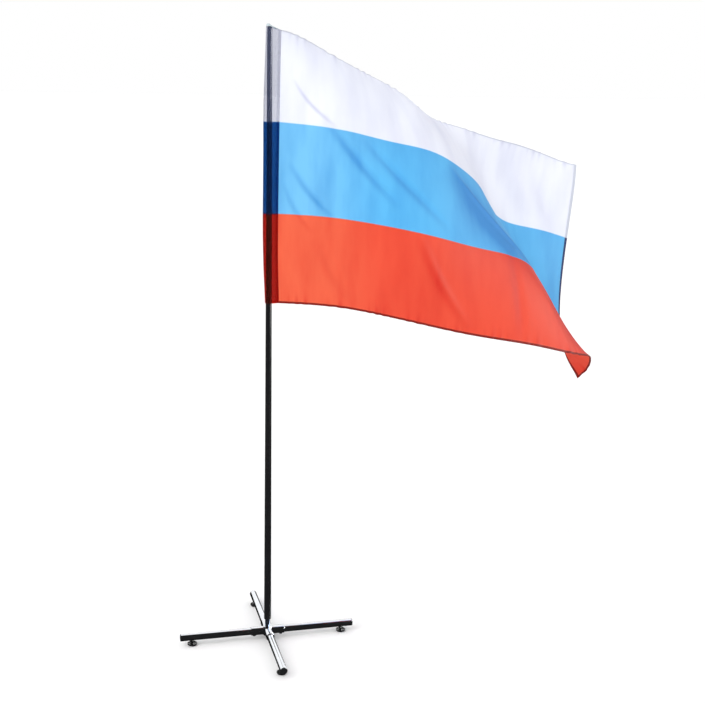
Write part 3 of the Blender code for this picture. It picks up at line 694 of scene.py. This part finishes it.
def pocket_outline(down, inset):
    """The pocket in plan, from the seam round the fold and back to the seam."""
    seam = seam_reach(down) - inset * 0.5
    fold = between(FOLD_REACH, down / HOIST) / 1000 - inset
    pucker = 0.0005 * sin(down * 140) + 0.0004 * sin(down * 61 + 1.3) + 0.0003 * sin(down * 283 + 0.4)
    outline = []
    for side in (1, -1):
        for k in range(WALL_POINTS + 1):
            turn = pi * k / WALL_POINTS
            x = (seam - fold) / 2 + (seam + fold) / 2 * (cos(turn) if side == 1 else -cos(turn))
            reach = fold / (fold + inset) if x < 0 else 1.0
            y = pocket_half(x / reach, down, inset) * side
            loose = max(0.0, 1 - abs(x - 0.018) / 0.012)
            outline.append((x, y + pucker * loose * (1 if side == 1 else 0.6)))
    return outline[:WALL_POINTS + 1] + outline[WALL_POINTS + 2:-1]


def cloth_nodes(name, relief):
    """A woven-cloth material: its tree, its shader, and its place in metres along and down the cloth."""
    made = bpy.data.materials.new(name)
    made.use_nodes = True
    tree = made.node_tree
    shader = tree.nodes["Principled BSDF"]
    shader.inputs["Roughness"].default_value = 0.62
    shader.inputs["Specular IOR Level"].default_value = 0.25
    shader.inputs["Sheen Weight"].default_value = 0.12
    shader.inputs["Sheen Roughness"].default_value = 0.4
    place = wired(tree, "ShaderNodeUVMap", uv_map="thread").outputs["UV"]
    parts = wired(tree, "ShaderNodeSeparateXYZ", {0: place})
    waves = []
    for axis in ("X", "Y"):
        turn = wired(tree, "ShaderNodeMath", {0: parts.outputs[axis], 1: tau / WEAVE},
                     operation='MULTIPLY')
        waves.append(wired(tree, "ShaderNodeMath", {0: turn.outputs[0]}, operation='SINE').outputs[0])
    weave = wired(tree, "ShaderNodeMath", {0: waves[0], 1: waves[1]}, operation='MULTIPLY').outputs[0]
    slub = wired(tree, "ShaderNodeTexNoise", {"Vector": place, "Scale": 260.0,
                                              "Detail": 3.0}).outputs["Fac"]
    rough = wired(tree, "ShaderNodeMath", {0: weave, 1: 0.5, 2: slub}, operation='MULTIPLY_ADD').outputs[0]
    bump = wired(tree, "ShaderNodeBump", {"Height": rough, "Strength": relief, "Distance": 0.00012})
    tree.links.new(bump.outputs["Normal"], shader.inputs["Normal"])
    return made, tree, shader, parts, place


def stripes(tree, down, colours):
    """White, blue and red in equal bands down the hoist, with the print's slightly soft edges."""
    share = wired(tree, "ShaderNodeMath", {0: down, 1: HOIST}, operation='DIVIDE').outputs[0]
    ramp = wired(tree, "ShaderNodeValToRGB", {"Fac": share})
    blur = 0.0006
    stops = ramp.color_ramp.elements
    stops[0].position = 1 / 3 - blur
    stops[0].color = (*colours[0], 1)
    stops[1].position = 1 / 3 + blur
    stops[1].color = (*colours[1], 1)
    for position, colour in ((2 / 3 - blur, colours[1]), (2 / 3 + blur, colours[2])):
        stops.new(position).color = (*colour, 1)
    return ramp.outputs["Color"]


def see_through_cloth():
    """Two thin layers over a dark pole: each lets through most of the light, tinted by its print."""
    made, tree, shader, parts, place = cloth_nodes("sleeve_cloth", 0.5)
    along, down = parts.outputs["X"], parts.outputs["Y"]
    body = stripes(tree, down, ((0.188, 0.22, 0.39), (0.009, 0.048, 0.188), (0.155, 0.024, 0.012)))
    tree.links.new(body, shader.inputs["Base Color"])
    once = stripes(tree, down, ((0.97, 0.97, 0.983), (0.31, 0.527, 0.736), (0.85, 0.35, 0.327)))
    doubled = stripes(tree, down, ((0.92, 0.92, 0.94), (0.18, 0.42, 0.66), (0.80, 0.20, 0.16)))
    near_seam = wired(tree, "ShaderNodeMath", {0: along, 1: TURNED_IN}, operation='LESS_THAN').outputs[0]
    near_foot = wired(tree, "ShaderNodeMath", {0: down, 1: HOIST - BOTTOM_HEM},
                      operation='GREATER_THAN').outputs[0]
    folded = wired(tree, "ShaderNodeMath", {0: near_seam, 1: near_foot}, operation='MAXIMUM').outputs[0]
    layers = wired(tree, "ShaderNodeMix", {"Factor": folded, 6: once, 7: doubled},
                   data_type='RGBA').outputs[2]
    # Painted shade: the light through the pocket is cut towards its fold, where the two layers are seen
    # edge-on.
    painted_fold_shade = wired(tree, "ShaderNodeMapRange", {"Value": along, "From Min": 0.038, "From Max": 0.050,
                                                 "To Min": 1.0, "To Max": 0.93}).outputs["Result"]
    tint = wired(tree, "ShaderNodeMix", {"Factor": 1.0, 6: layers, 7: painted_fold_shade}, data_type='RGBA',
                 blend_type='MULTIPLY').outputs[2]
    clear = wired(tree, "ShaderNodeBsdfTransparent", {"Color": tint})
    both = wired(tree, "ShaderNodeMixShader", {0: 0.87, 1: shader.outputs[0], 2: clear.outputs[0]})
    tree.links.new(both.outputs[0], tree.nodes["Material Output"].inputs["Surface"])
    return made


sleeve_cloth = see_through_cloth()


def pocket():
    """The pocket as one closed wall, open at its lower and upper ends."""
    outer, inner = [], []
    for row in range(SLEEVE_ROWS + 1):
        down = HOIST * row / SLEEVE_ROWS
        outer.append(pocket_outline(down, 0))
        inner.append(pocket_outline(down, SLEEVE_CLOTH))
    around = len(outer[0])
    verts = []
    for surface in (outer, inner):
        for row, outline in enumerate(surface):
            down = HOIST * row / SLEEVE_ROWS
            verts += [heading * x + away * y + Vector((0, 0, FLAG_TOP - down - sag(x, down)))
                      for x, y in outline]
    faces = []
    lift = (SLEEVE_ROWS + 1) * around
    for row in range(SLEEVE_ROWS):
        for k in range(around):
            n = (k + 1) % around
            a, b, c, d = row * around + k, row * around + n, (row + 1) * around + n, (row + 1) * around + k
            faces += [(a, b, c, d), (a + lift, d + lift, c + lift, b + lift)]
    last = SLEEVE_ROWS * around
    for k in range(around):
        n = (k + 1) % around
        faces += [(k, k + lift, n + lift, n), (last + k, last + n, last + n + lift, last + k + lift)]
    mesh = bpy.data.meshes.new("sleeve_pocket")
    mesh.from_pydata(verts, [], faces)
    places = mesh.uv_layers.new(name="thread")
    for loop in mesh.loops:
        point = mesh.vertices[loop.vertex_index].co
        down = max(0.0, FLAG_TOP - point.z)
        places.data[loop.index].uv = (seam_reach(down) - point.dot(heading), down)
    solid = bmesh.new()
    solid.from_mesh(mesh)
    bmesh.ops.recalc_face_normals(solid, faces=solid.faces)
    return piece(solid, "sleeve_pocket", sleeve_cloth, 60)


sleeve = fitted(pocket(), "sleeve", "sleeve_cloth", "flag_sleeve")


def top_patch():
    """The tented patch: sewn to the pocket's upper edge, highest over the pole's tip."""
    low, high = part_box("sleeve_top_patch")
    rings = 7
    solid = bmesh.new()
    outline = pocket_outline(0, 0)
    levels = []
    for step in range(rings + 1):
        share = step / rings
        shrink = 1 - 0.92 * share ** 1.6
        rise = (high.z - low.z) * sin(pi / 2 * share)
        level = []
        for x, y in outline:
            slope = 1 - 0.75 * max(0.0, min(1.0, (x + 0.002) / 0.036))
            z = low.z + 0.0002 + rise * slope - sag(x, 0)
            level.append(solid.verts.new(heading * (x * (0.35 + 0.65 * shrink) - 0.001 * share)
                                         + away * (y * shrink) + Vector((0, 0, z))))
        levels.append(level)
    around = len(outline)
    for one, other in zip(levels, levels[1:]):
        for k in range(around):
            solid.faces.new((one[k - 1], one[k], other[k], other[k - 1]))
    solid.faces.new(list(reversed(levels[0])))
    solid.faces.new(levels[-1])
    bmesh.ops.recalc_face_normals(solid, faces=solid.faces)
    finish, tree, shader, parts, place = cloth_nodes("patch_cloth", 0.5)
    where = wired(tree, "ShaderNodeTexCoord").outputs["Object"]
    fade = wired(tree, "ShaderNodeTexNoise", {"Vector": where, "Scale": 180.0}).outputs["Fac"]
    shade = wired(tree, "ShaderNodeValToRGB", {"Fac": fade})
    shade.color_ramp.elements[0].color = (0.42, 0.49, 0.52, 1)
    shade.color_ramp.elements[1].color = (0.55, 0.62, 0.66, 1)
    tree.links.new(shade.outputs["Color"], shader.inputs["Base Color"])
    return piece(solid, "sleeve_patch", finish, 60)


patch = fitted(top_patch(), "sleeve", "sleeve_cloth", "sleeve_top_patch")
layer = patch.data.uv_layers.new(name="thread")
for loop in patch.data.loops:
    point = patch.data.vertices[loop.vertex_index].co
    layer.data[loop.index].uv = (point.dot(heading), point.dot(away))


# ---- Flying cloth ------------------------------------------------------------------------------
# One piece of light woven polyester, 1.35 m by 0.90 m, printed through in three bands and hemmed on
# its three free sides. The wind holds it out: the top edge streams away, the lower edge comes
# forward and then folds back behind a slanting ridge, so that the lower corner hangs behind it.
# The way the cloth runs along its upper edge, its two stripe lines and its lower edge, in degrees:
# how far it is turned away from the flag's heading, and how far it dips below level.
HEADING = ((30, 34, 35, 43, 34, 24, 18, 27, 25, 8),
           (-28, 16, 21, 36, 50, 65, 52, 28, 19, 21),
           (-22, -15, 2, 20, 25, 39, 72, 63, 60, 49),
           (-4, -25, -13, 0, 5, 12, 18, 70, 82, 131))
DIP = ((24, 23, 23, 33, 14, 14, 10, 22, 23, 8),
       (1, 14, 10, 27, 30, 40, 30, 12, 13, 23),
       (-2, 6, 12, 16, 12, 24, 41, 33, 34, 32),
       (1, 4, 7, 11, 12, 13, 13, 10, 36, 34))
TOWARDS_FLY = 1.4                   # the angles are stated closer together towards the fly
CLOTH = 0.0003
HEM_CLOTH = 0.0009
TOP_HEM = 0.0045
FLY_HEM = 0.0100
LINE_STEP = 0.010                   # spacing of the lines that the cloth is relaxed on
FINE_ACROSS = 236                   # columns of faces in the finished cloth
FINE_DOWN = 154
# Slack drawn into soft folds: each runs from one point to another, measured in metres along and
# down the cloth, with its width, how far it stands out (a minus stands out at the back), and how
# much painted shade darkens the colour beside it, for the light having further to come through
# there. An entry that stands out by nothing only paints shade.
FOLDS = (((0.05, 0.15), (0.20, 0.29), 0.004, 0.0020, 0.9),
         ((0.16, 0.26), (0.42, 0.53), 0.010, -0.0060, 0.50),
         ((0.28, 0.30), (0.60, 0.57), 0.010, -0.0055, 0.42),
         ((0.04, 0.42), (0.20, 0.60), 0.008, 0.0035, 0.45),
         ((0.02, 0.49), (0.13, 0.66), 0.007, 0.0025, 0.30),
         ((0.48, 0.60), (0.66, 0.88), 0.011, 0.0065, 0.55),
         ((0.60, 0.32), (0.99, 0.61), 0.009, 0.0070, 0.55),
         ((0.62, 0.30), (0.96, 0.62), 0.040, 0.0, 0.95),
         ((0.90, 0.58), (1.23, 0.93), 0.030, 0.0, 1.0),
         ((0.84, 0.56), (0.84, 0.90), 0.012, -0.0040, 0.50),
         ((0.90, 0.62), (1.04, 0.91), 0.012, 0.0035, 0.0),
         ((0.14, 0.66), (0.24, 0.86), 0.014, 0.0030, 0.25),
         ((1.05, -0.02), (1.20, 0.24), 0.030, 0.0110, 0.30),
         ((1.18, 0.05), (1.32, 0.30), 0.020, -0.0080, 0.25))
PUCKER = 0.0024                     # how far the hems' stitching draws the cloth up
STIFFNESS = 0.05                    # how strongly the cloth resists a kink between two lines

columns = round(FLY / LINE_STEP)
rows = round(HOIST / LINE_STEP)
along_lines = np.linspace(0, FLY, columns + 1)
down_lines = np.linspace(0, HOIST, rows + 1)


def stripe_edge(row):
    """Points along one of the four stripe edges, a step apart, from the seam to the fly."""
    at = np.array((SEAM_AT, 0.0, FLAG_TOP - HOIST * row / 3))
    points = [at]
    for k in range(columns):
        share = ((k + 0.5) / columns) ** TOWARDS_FLY
        turn = radians(between(HEADING[row], share))
        dip = radians(between(DIP[row], share))
        at = at + np.array((cos(dip) * cos(turn), cos(dip) * sin(turn), -sin(dip))) * FLY / columns
        points.append(at)
    return np.array(points)


def flown():
    """The cloth's middle surface as the wind holds it: rows of points, along, away and up."""
    edges = [stripe_edge(row) for row in range(4)]
    surface = np.zeros((rows + 1, columns + 1, 3))
    for row in range(rows + 1):
        t = 3 * row / rows
        for a in range(4):
            share = 1.0
            for b in range(4):
                if a != b:
                    share *= (t - b) / (a - b)
            surface[row] += share * edges[a]
    return surface


def facing(surface):
    """Unit normals of a grid of points, pointing to the side away from the front."""
    normal = np.cross(np.gradient(surface, axis=1), np.gradient(surface, axis=0))
    return normal / np.linalg.norm(normal, axis=2, keepdims=True)


def folded(surface):
    """The surface with soft folds and a ripple along the hems drawn into it, and painted shade beside them.
    """
    x, y = np.meshgrid(fine_along, fine_down)
    height = np.zeros_like(x)
    painted_shade = np.zeros_like(x)
    for (x0, y0), (x1, y1), width, rise, shade in FOLDS:
        length = hypot(x1 - x0, y1 - y0)
        ahead = ((x - x0) * (x1 - x0) + (y - y0) * (y1 - y0)) / length
        aside = ((x - x0) * (y1 - y0) - (y - y0) * (x1 - x0)) / length
        aside = aside + 0.012 * np.sin(pi * ahead / length)
        taper = np.sin(pi * np.clip(ahead / length, 0, 1)) ** 0.8
        height += rise * taper * np.exp(-0.5 * (aside / width) ** 2)
        # Painted shade, on one side of each fold.
        painted_shade += shade * taper * np.exp(-0.5 * ((aside + 0.9 * width) / width) ** 2)
    for inward in (y, HOIST - y):
        pucker = np.exp(-inward / 0.018) * np.sin(x * 190 + 3 * np.sin(x * 17)) * np.sin(x * 23) ** 2
        height += PUCKER * pucker
        # Painted shade where the hems' stitching draws the cloth up.
        painted_shade += np.clip(pucker, 0, 1)
    height *= np.clip(x / 0.03, 0, 1)
    return surface - facing(surface) * height[..., None], np.clip(painted_shade, 0, 1)


def relaxed(target, rounds):
    """Lets the threads find their true lengths, while the cloth is held softly to its shape."""
    across, down = FLY / columns, HOIST / rows
    links = [(1, 0, across), (0, 1, down), (1, 1, hypot(across, down)), (1, -1, hypot(across, down)),
             (2, 0, 2 * across), (0, 2, 2 * down)]
    points = target.copy()
    for step in range(rounds):
        move = np.zeros_like(points)
        for dx, dy, rest in links:
            one = (slice(max(0, -dy), rows + 1 - max(0, dy)), slice(0, columns + 1 - dx))
            other = (slice(max(0, dy), rows + 1 + min(0, dy)), slice(dx, columns + 1))
            gap = points[other] - points[one]
            length = np.linalg.norm(gap, axis=2, keepdims=True)
            pull = gap * (1 - rest / length)
            stiff = 0.16 if dx + abs(dy) < 2 else 0.07
            move[one] += pull * stiff
            move[other] -= pull * stiff
        points += move
        points[1:-1] += STIFFNESS * (points[2:] + points[:-2] - 2 * points[1:-1])
        points[:, 1:-1] += STIFFNESS * (points[:, 2:] + points[:, :-2] - 2 * points[:, 1:-1])
        points += 0.012 * (target - points)
        points[:, 0] = target[:, 0]
    return points


def resampled(values, old, new):
    """Reads a grid's rows at new stations, by a smooth curve through the old, equally spaced ones."""
    x = np.clip((new - old[0]) / (old[1] - old[0]), 0, len(old) - 1 - 1e-9)
    k = x.astype(int)
    t = (x - k)[:, None, None]
    last = len(old) - 1
    a, b, c, d = (values[np.clip(k + j, 0, last)] for j in (-1, 0, 1, 2))
    return 0.5 * (2 * b + (c - a) * t + (2 * a - 5 * b + 4 * c - d) * t ** 2
                  + (3 * b - a - 3 * c + d) * t ** 3)


surface = flown()
surface = relaxed(surface, 260)
fly_hem_at = FLY - FLY_HEM
foot_hem_at = HOIST - BOTTOM_HEM
fine_along = np.concatenate((np.linspace(0, fly_hem_at, FINE_ACROSS),
                             fly_hem_at + np.array((0.0005, 0.003)), [FLY]))
fine_down = np.concatenate(([0, 0.002, TOP_HEM - 0.0005], np.linspace(TOP_HEM, foot_hem_at, FINE_DOWN),
                            foot_hem_at + np.array((0.0005, 0.004)), [HOIST]))
surface = resampled(surface, down_lines, fine_down)
surface = resampled(surface.transpose(1, 0, 2), along_lines, fine_along).transpose(1, 0, 2)
draw = np.array([seam_reach(y) for y in fine_down]) - SEAM_AT
by_seam = np.clip(1 - fine_along / 0.15, 0, 1)[None, :] ** 2
surface[..., 0] += draw[:, None] * by_seam
surface[..., 2] -= TOP_SAG * np.clip(1 - fine_down / SAG_LENGTH, 0, 1)[:, None] * by_seam
turn_to_flag = np.array((heading, away, (0, 0, 1)))
surface, painted_shade = folded(surface)
surface = surface @ turn_to_flag
normals = facing(surface)


def on_cloth(along, down, lift):
    """A point on the cloth, given in metres along and down it, lifted off its middle surface."""
    both = np.concatenate((surface, normals), axis=2)
    c = np.interp(along, fine_along, np.arange(len(fine_along)))
    r = np.interp(down, fine_down, np.arange(len(fine_down)))
    c0, r0 = min(int(c), len(fine_along) - 2), min(int(r), len(fine_down) - 2)
    s, t = c - c0, r - r0
    mixed = ((both[r0, c0] * (1 - s) + both[r0, c0 + 1] * s) * (1 - t)
             + (both[r0 + 1, c0] * (1 - s) + both[r0 + 1, c0 + 1] * s) * t)
    return Vector(mixed[:3]) + Vector(mixed[3:]).normalized() * lift


# Band colours, white, blue and red. The set used near the pole is lighter than FARTHER: painted light, for
# more light coming through the cloth there.
PAINTED_LIGHT_BY_POLE = ((0.91, 0.925, 0.985), (0.27, 0.675, 0.93), (0.92, 0.205, 0.10))
FARTHER = ((0.92, 0.935, 0.99), (0.165, 0.62, 0.92), (0.90, 0.13, 0.066))
# DEEPER: the colour of painted shade beside the folds and on the hems' ripple; random streaks also take the
# colour part way to it.
DEEPER = ((0.72, 0.73, 0.84), (0.065, 0.38, 0.76), (0.78, 0.050, 0.030))
# HEMS: much darker colours on the hems, painted shade for the light that comes less through their two
# layers.
HEMS = ((0.70, 0.72, 0.79), (0.010, 0.04, 0.19), (0.34, 0.022, 0.012))


def printed_cloth():
    """Thin printed polyester: part of the light shows its face, and part comes through from behind."""
    made, tree, shader, parts, place = cloth_nodes("flag_cloth", 0.5)
    along, down = parts.outputs["X"], parts.outputs["Y"]
    wander = wired(tree, "ShaderNodeTexNoise", {"Vector": place, "Scale": 90.0}).outputs["Fac"]
    edge = wired(tree, "ShaderNodeMath", {0: wander, 1: 0.0006, 2: down},
                 operation='MULTIPLY_ADD').outputs[0]
    # Painted light: the cloth is lighter near the pole and turns to the farther colours beyond.
    beyond = wired(tree, "ShaderNodeMapRange", {"Value": along, "From Min": 0.10, "From Max": 0.42},
                   interpolation_type='SMOOTHSTEP').outputs["Result"]
    single = wired(tree, "ShaderNodeMix", {"Factor": beyond, 6: stripes(tree, edge, PAINTED_LIGHT_BY_POLE),
                                           7: stripes(tree, edge, FARTHER)}, data_type='RGBA').outputs[2]
    # Random tall streaks, which take the colour part way towards DEEPER.
    tall = wired(tree, "ShaderNodeMapping", {"Vector": place, "Scale": (13.0, 3.0, 1.0)}).outputs["Vector"]
    cloud = wired(tree, "ShaderNodeTexNoise", {"Vector": tall, "Scale": 1.0, "Detail": 4.0}).outputs["Fac"]
    streaks = wired(tree, "ShaderNodeMapRange", {"Value": cloud, "From Min": 0.40, "From Max": 0.75,
                                             "To Min": 0.0, "To Max": 0.45}).outputs["Result"]
    # Painted shade beside the folds and on the hems' ripple, added to the streaks; both take the colour
    # towards DEEPER.
    crease_shade = wired(tree, "ShaderNodeAttribute", attribute_name="crease_shade").outputs["Fac"]
    depth = wired(tree, "ShaderNodeMath", {0: crease_shade, 1: streaks}, operation='ADD',
                  use_clamp=True).outputs[0]
    uneven = wired(tree, "ShaderNodeMix", {"Factor": depth, 6: single, 7: stripes(tree, edge, DEEPER)},
                   data_type='RGBA').outputs[2]
    # Painted shade: the hems take the much darker colours, for less light coming through two layers.
    hemmed = stripes(tree, edge, HEMS)
    at_fly = wired(tree, "ShaderNodeMath", {0: along, 1: fly_hem_at}, operation='GREATER_THAN').outputs[0]
    at_top = wired(tree, "ShaderNodeMath", {0: down, 1: TOP_HEM}, operation='LESS_THAN').outputs[0]
    at_foot = wired(tree, "ShaderNodeMath", {0: down, 1: foot_hem_at}, operation='GREATER_THAN').outputs[0]
    sides = wired(tree, "ShaderNodeMath", {0: at_fly, 1: at_top}, operation='MAXIMUM').outputs[0]
    hem = wired(tree, "ShaderNodeMath", {0: sides, 1: at_foot}, operation='MAXIMUM').outputs[0]
    colour = wired(tree, "ShaderNodeMix", {"Factor": hem, 6: uneven, 7: hemmed},
                   data_type='RGBA').outputs[2]
    tree.links.new(colour, shader.inputs["Base Color"])
    through = wired(tree, "ShaderNodeBsdfTranslucent", {"Color": colour})
    both = wired(tree, "ShaderNodeMixShader", {0: 0.45, 1: shader.outputs[0], 2: through.outputs[0]})
    tree.links.new(both.outputs[0], tree.nodes["Material Output"].inputs["Surface"])
    return made


def flying_cloth():
    """The finished cloth as one thin closed sheet, thicker where it is hemmed."""
    x, y = np.meshgrid(fine_along, fine_down)
    hem = (x > fly_hem_at + 0.0001) | (y < TOP_HEM - 0.0001) | (y > foot_hem_at + 0.0001)
    half = np.where(hem, HEM_CLOTH, CLOTH)[..., None] / 2
    verts = np.concatenate(((surface - normals * half).reshape(-1, 3),
                            (surface + normals * half).reshape(-1, 3)))
    down_count, along_count = x.shape
    index = np.arange(down_count * along_count).reshape(down_count, along_count)
    lift = index.size
    a, b, c, d = index[:-1, :-1], index[:-1, 1:], index[1:, 1:], index[1:, :-1]
    front = np.stack((a, d, c, b), axis=-1).reshape(-1, 4)
    back = np.stack((a, b, c, d), axis=-1).reshape(-1, 4) + lift
    rim = np.concatenate((index[0, :], index[1:, -1], index[-1, -2::-1], index[-2:0:-1, 0]))
    after = np.roll(rim, -1)
    edge = np.stack((rim, after, after + lift, rim + lift), axis=-1)
    mesh = bpy.data.meshes.new("flying_cloth")
    mesh.from_pydata(verts.tolist(), [], np.concatenate((front, back, edge)).tolist())
    corner = np.zeros(len(mesh.loops), np.int32)
    mesh.loops.foreach_get("vertex_index", corner)
    flat = np.tile(np.stack((x, y), axis=-1).reshape(-1, 2), (2, 1))[corner]
    mesh.uv_layers.new(name="thread").data.foreach_set("uv", flat.astype(np.float32).ravel())
    # The painted shade, kept for the cloth's material on the points of both faces.
    crease_shade = mesh.attributes.new("crease_shade", 'FLOAT', 'POINT')
    crease_shade.data.foreach_set("value", np.tile(painted_shade.ravel(), 2).astype(np.float32))
    solid = bmesh.new()
    solid.from_mesh(mesh)
    return piece(solid, "flying_cloth", printed_cloth(), 60)


cloth = flying_cloth()
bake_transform(cloth)
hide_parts("flag_cloth")


# ---- Sewing ------------------------------------------------------------------------------------
# Lockstitch in thread dyed to match each band: one row along every hem, and two rows up the sleeve's
# seam. Each stitch lies on the cloth as a short bead of thread, on the front and on the back.
STITCH = 0.0026
STITCH_GAP = 0.0012
THREAD = 0.00035
ROW_INSET = 0.0018                  # a hem's row of stitches, from the hem's inner edge


def sewing_tree():
    """Geometry nodes: a bead of thread at equal steps along every line it is given, turned along it."""
    tree = bpy.data.node_groups.new("row_of_stitches", 'GeometryNodeTree')
    tree.interface.new_socket("Geometry", in_out='INPUT', socket_type='NodeSocketGeometry')
    for name, value in (("Stitch", STITCH), ("Gap", STITCH_GAP), ("Thread", THREAD)):
        tree.interface.new_socket(name, in_out='INPUT', socket_type='NodeSocketFloat').default_value = value
    tree.interface.new_socket("Finish", in_out='INPUT', socket_type='NodeSocketMaterial')
    tree.interface.new_socket("Geometry", in_out='OUTPUT', socket_type='NodeSocketGeometry')
    given = wired(tree, "NodeGroupInput").outputs
    pitch = wired(tree, "ShaderNodeMath", {0: given["Stitch"], 1: given["Gap"]}, operation='ADD').outputs[0]
    lines = wired(tree, "GeometryNodeMeshToCurve", {"Mesh": given["Geometry"]}).outputs["Curve"]
    steps = wired(tree, "GeometryNodeResampleCurve", {"Curve": lines, "Length": pitch}, mode='LENGTH')
    tangent = wired(tree, "GeometryNodeInputTangent").outputs["Tangent"]
    turn = wired(tree, "FunctionNodeAlignRotationToVector", {"Vector": tangent},
                 axis='X').outputs["Rotation"]
    bead = wired(tree, "GeometryNodeMeshUVSphere", {"Segments": 6, "Rings": 4,
                                                    "Radius": 0.5}).outputs["Mesh"]
    size = wired(tree, "ShaderNodeCombineXYZ", {0: given["Thread"], 1: given["Thread"], 2: given["Stitch"]})
    shaped = wired(tree, "GeometryNodeTransform", {"Geometry": bead, "Scale": size.outputs[0]}).outputs[0]
    laid = wired(tree, "GeometryNodeTransform", {"Geometry": shaped,
                                                 "Rotation": (0, pi / 2, 0)}).outputs[0]
    copies = wired(tree, "GeometryNodeInstanceOnPoints", {"Points": steps.outputs["Curve"], "Instance": laid,
                                                          "Rotation": turn}).outputs["Instances"]
    real = wired(tree, "GeometryNodeRealizeInstances", {"Geometry": copies}).outputs["Geometry"]
    finished = wired(tree, "GeometryNodeSetMaterial", {"Geometry": real, "Material": given["Finish"]})
    wired(tree, "NodeGroupOutput", {0: finished.outputs["Geometry"]})
    return tree


row_of_stitches = sewing_tree()


def thread(name, colour):
    """Twisted polyester thread, with its twist as fine slanting ridges."""
    made = bpy.data.materials.new(name)
    made.use_nodes = True
    tree = made.node_tree
    shader = tree.nodes["Principled BSDF"]
    shader.inputs["Roughness"].default_value = 0.5
    shader.inputs["Sheen Weight"].default_value = 0.2
    where = wired(tree, "ShaderNodeTexCoord").outputs["Object"]
    twist = wired(tree, "ShaderNodeTexNoise", {"Vector": where, "Scale": 2500.0}).outputs["Fac"]
    shade = wired(tree, "ShaderNodeValToRGB", {"Fac": twist})
    shade.color_ramp.elements[0].color = (*[c * 0.75 for c in colour], 1)
    shade.color_ramp.elements[1].color = (*colour, 1)
    tree.links.new(shade.outputs["Color"], shader.inputs["Base Color"])
    bump = wired(tree, "ShaderNodeBump", {"Height": twist, "Strength": 0.5, "Distance": 0.00005})
    tree.links.new(bump.outputs["Normal"], shader.inputs["Normal"])
    return made


def sewn(name, lines, finish):
    """A mesh of stitches along lines of points."""
    verts = [point for line in lines for point in line]
    links = []
    count = 0
    for line in lines:
        links += [(count + k, count + k + 1) for k in range(len(line) - 1)]
        count += len(line)
    mesh = bpy.data.meshes.new(name + "_lines")
    mesh.from_pydata(verts, links, [])
    path = bpy.data.objects.new(name + "_path", mesh)
    bpy.context.scene.collection.objects.link(path)
    step = path.modifiers.new("sewing", 'NODES')
    step.node_group = row_of_stitches
    sockets = {item.name: item.identifier for item in row_of_stitches.interface.items_tree
               if item.in_out == 'INPUT'}
    step[sockets["Stitch"]] = STITCH
    step[sockets["Gap"]] = STITCH_GAP
    step[sockets["Thread"]] = THREAD
    step[sockets["Finish"]] = finish
    evaluated = path.evaluated_get(bpy.context.evaluated_depsgraph_get())
    made = bpy.data.objects.new(name, bpy.data.meshes.new_from_object(evaluated))
    bpy.data.objects.remove(path)
    made.data.name = name
    made.data.shade_smooth()
    bpy.context.scene.collection.objects.link(made)
    return made


def stations(start, end, step=0.006):
    """Equal steps from one distance to another."""
    count = max(1, round(abs(end - start) / step))
    return [start + (end - start) * k / count for k in range(count + 1)]


cloth_threads, sleeve_threads = [], []
fly_row = fly_hem_at + ROW_INSET
top_row = TOP_HEM - ROW_INSET
foot_row = foot_hem_at + ROW_INSET
for band, colour in enumerate(((0.62, 0.64, 0.70), (0.03, 0.13, 0.34), (0.40, 0.035, 0.02))):
    band_name = ("white", "blue", "red")[band]
    finish = thread(f"thread_{band_name}", colour)
    first, last = HOIST * band / 3, HOIST * (band + 1) / 3
    first = max(first, top_row)
    last = min(last, foot_row)
    lines = []
    for side in (-1, 1):
        lift = side * (HEM_CLOTH / 2 + THREAD * 0.3)
        lines.append([on_cloth(fly_row, y, lift) for y in stations(first, last)])
        if band == 0:
            lines.append([on_cloth(x, top_row, lift) for x in stations(0.004, fly_row)])
        if band == 2:
            lines.append([on_cloth(x, foot_row, lift) for x in stations(0.004, fly_row)])
    made = sewn(f"hem_stitches_{band_name}", lines, finish)
    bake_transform(made)
    cloth_threads.append(made)
    lines = []
    for side in (-1, 1):
        for inset in (0.002, TURNED_IN - 0.002):
            line = []
            for down in stations(HOIST * band / 3 + 0.002, HOIST * (band + 1) / 3 - 0.002):
                x = seam_reach(down) - inset
                half = pocket_half(x, down, 0) + THREAD * 0.4
                line.append(heading * x + away * (half * side)
                            + Vector((0, 0, FLAG_TOP - down - sag(x, down))))
            lines.append(line)
    made = sewn(f"seam_stitches_{band_name}", lines, finish)
    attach(made, "sleeve")
    sleeve_threads.append(made)
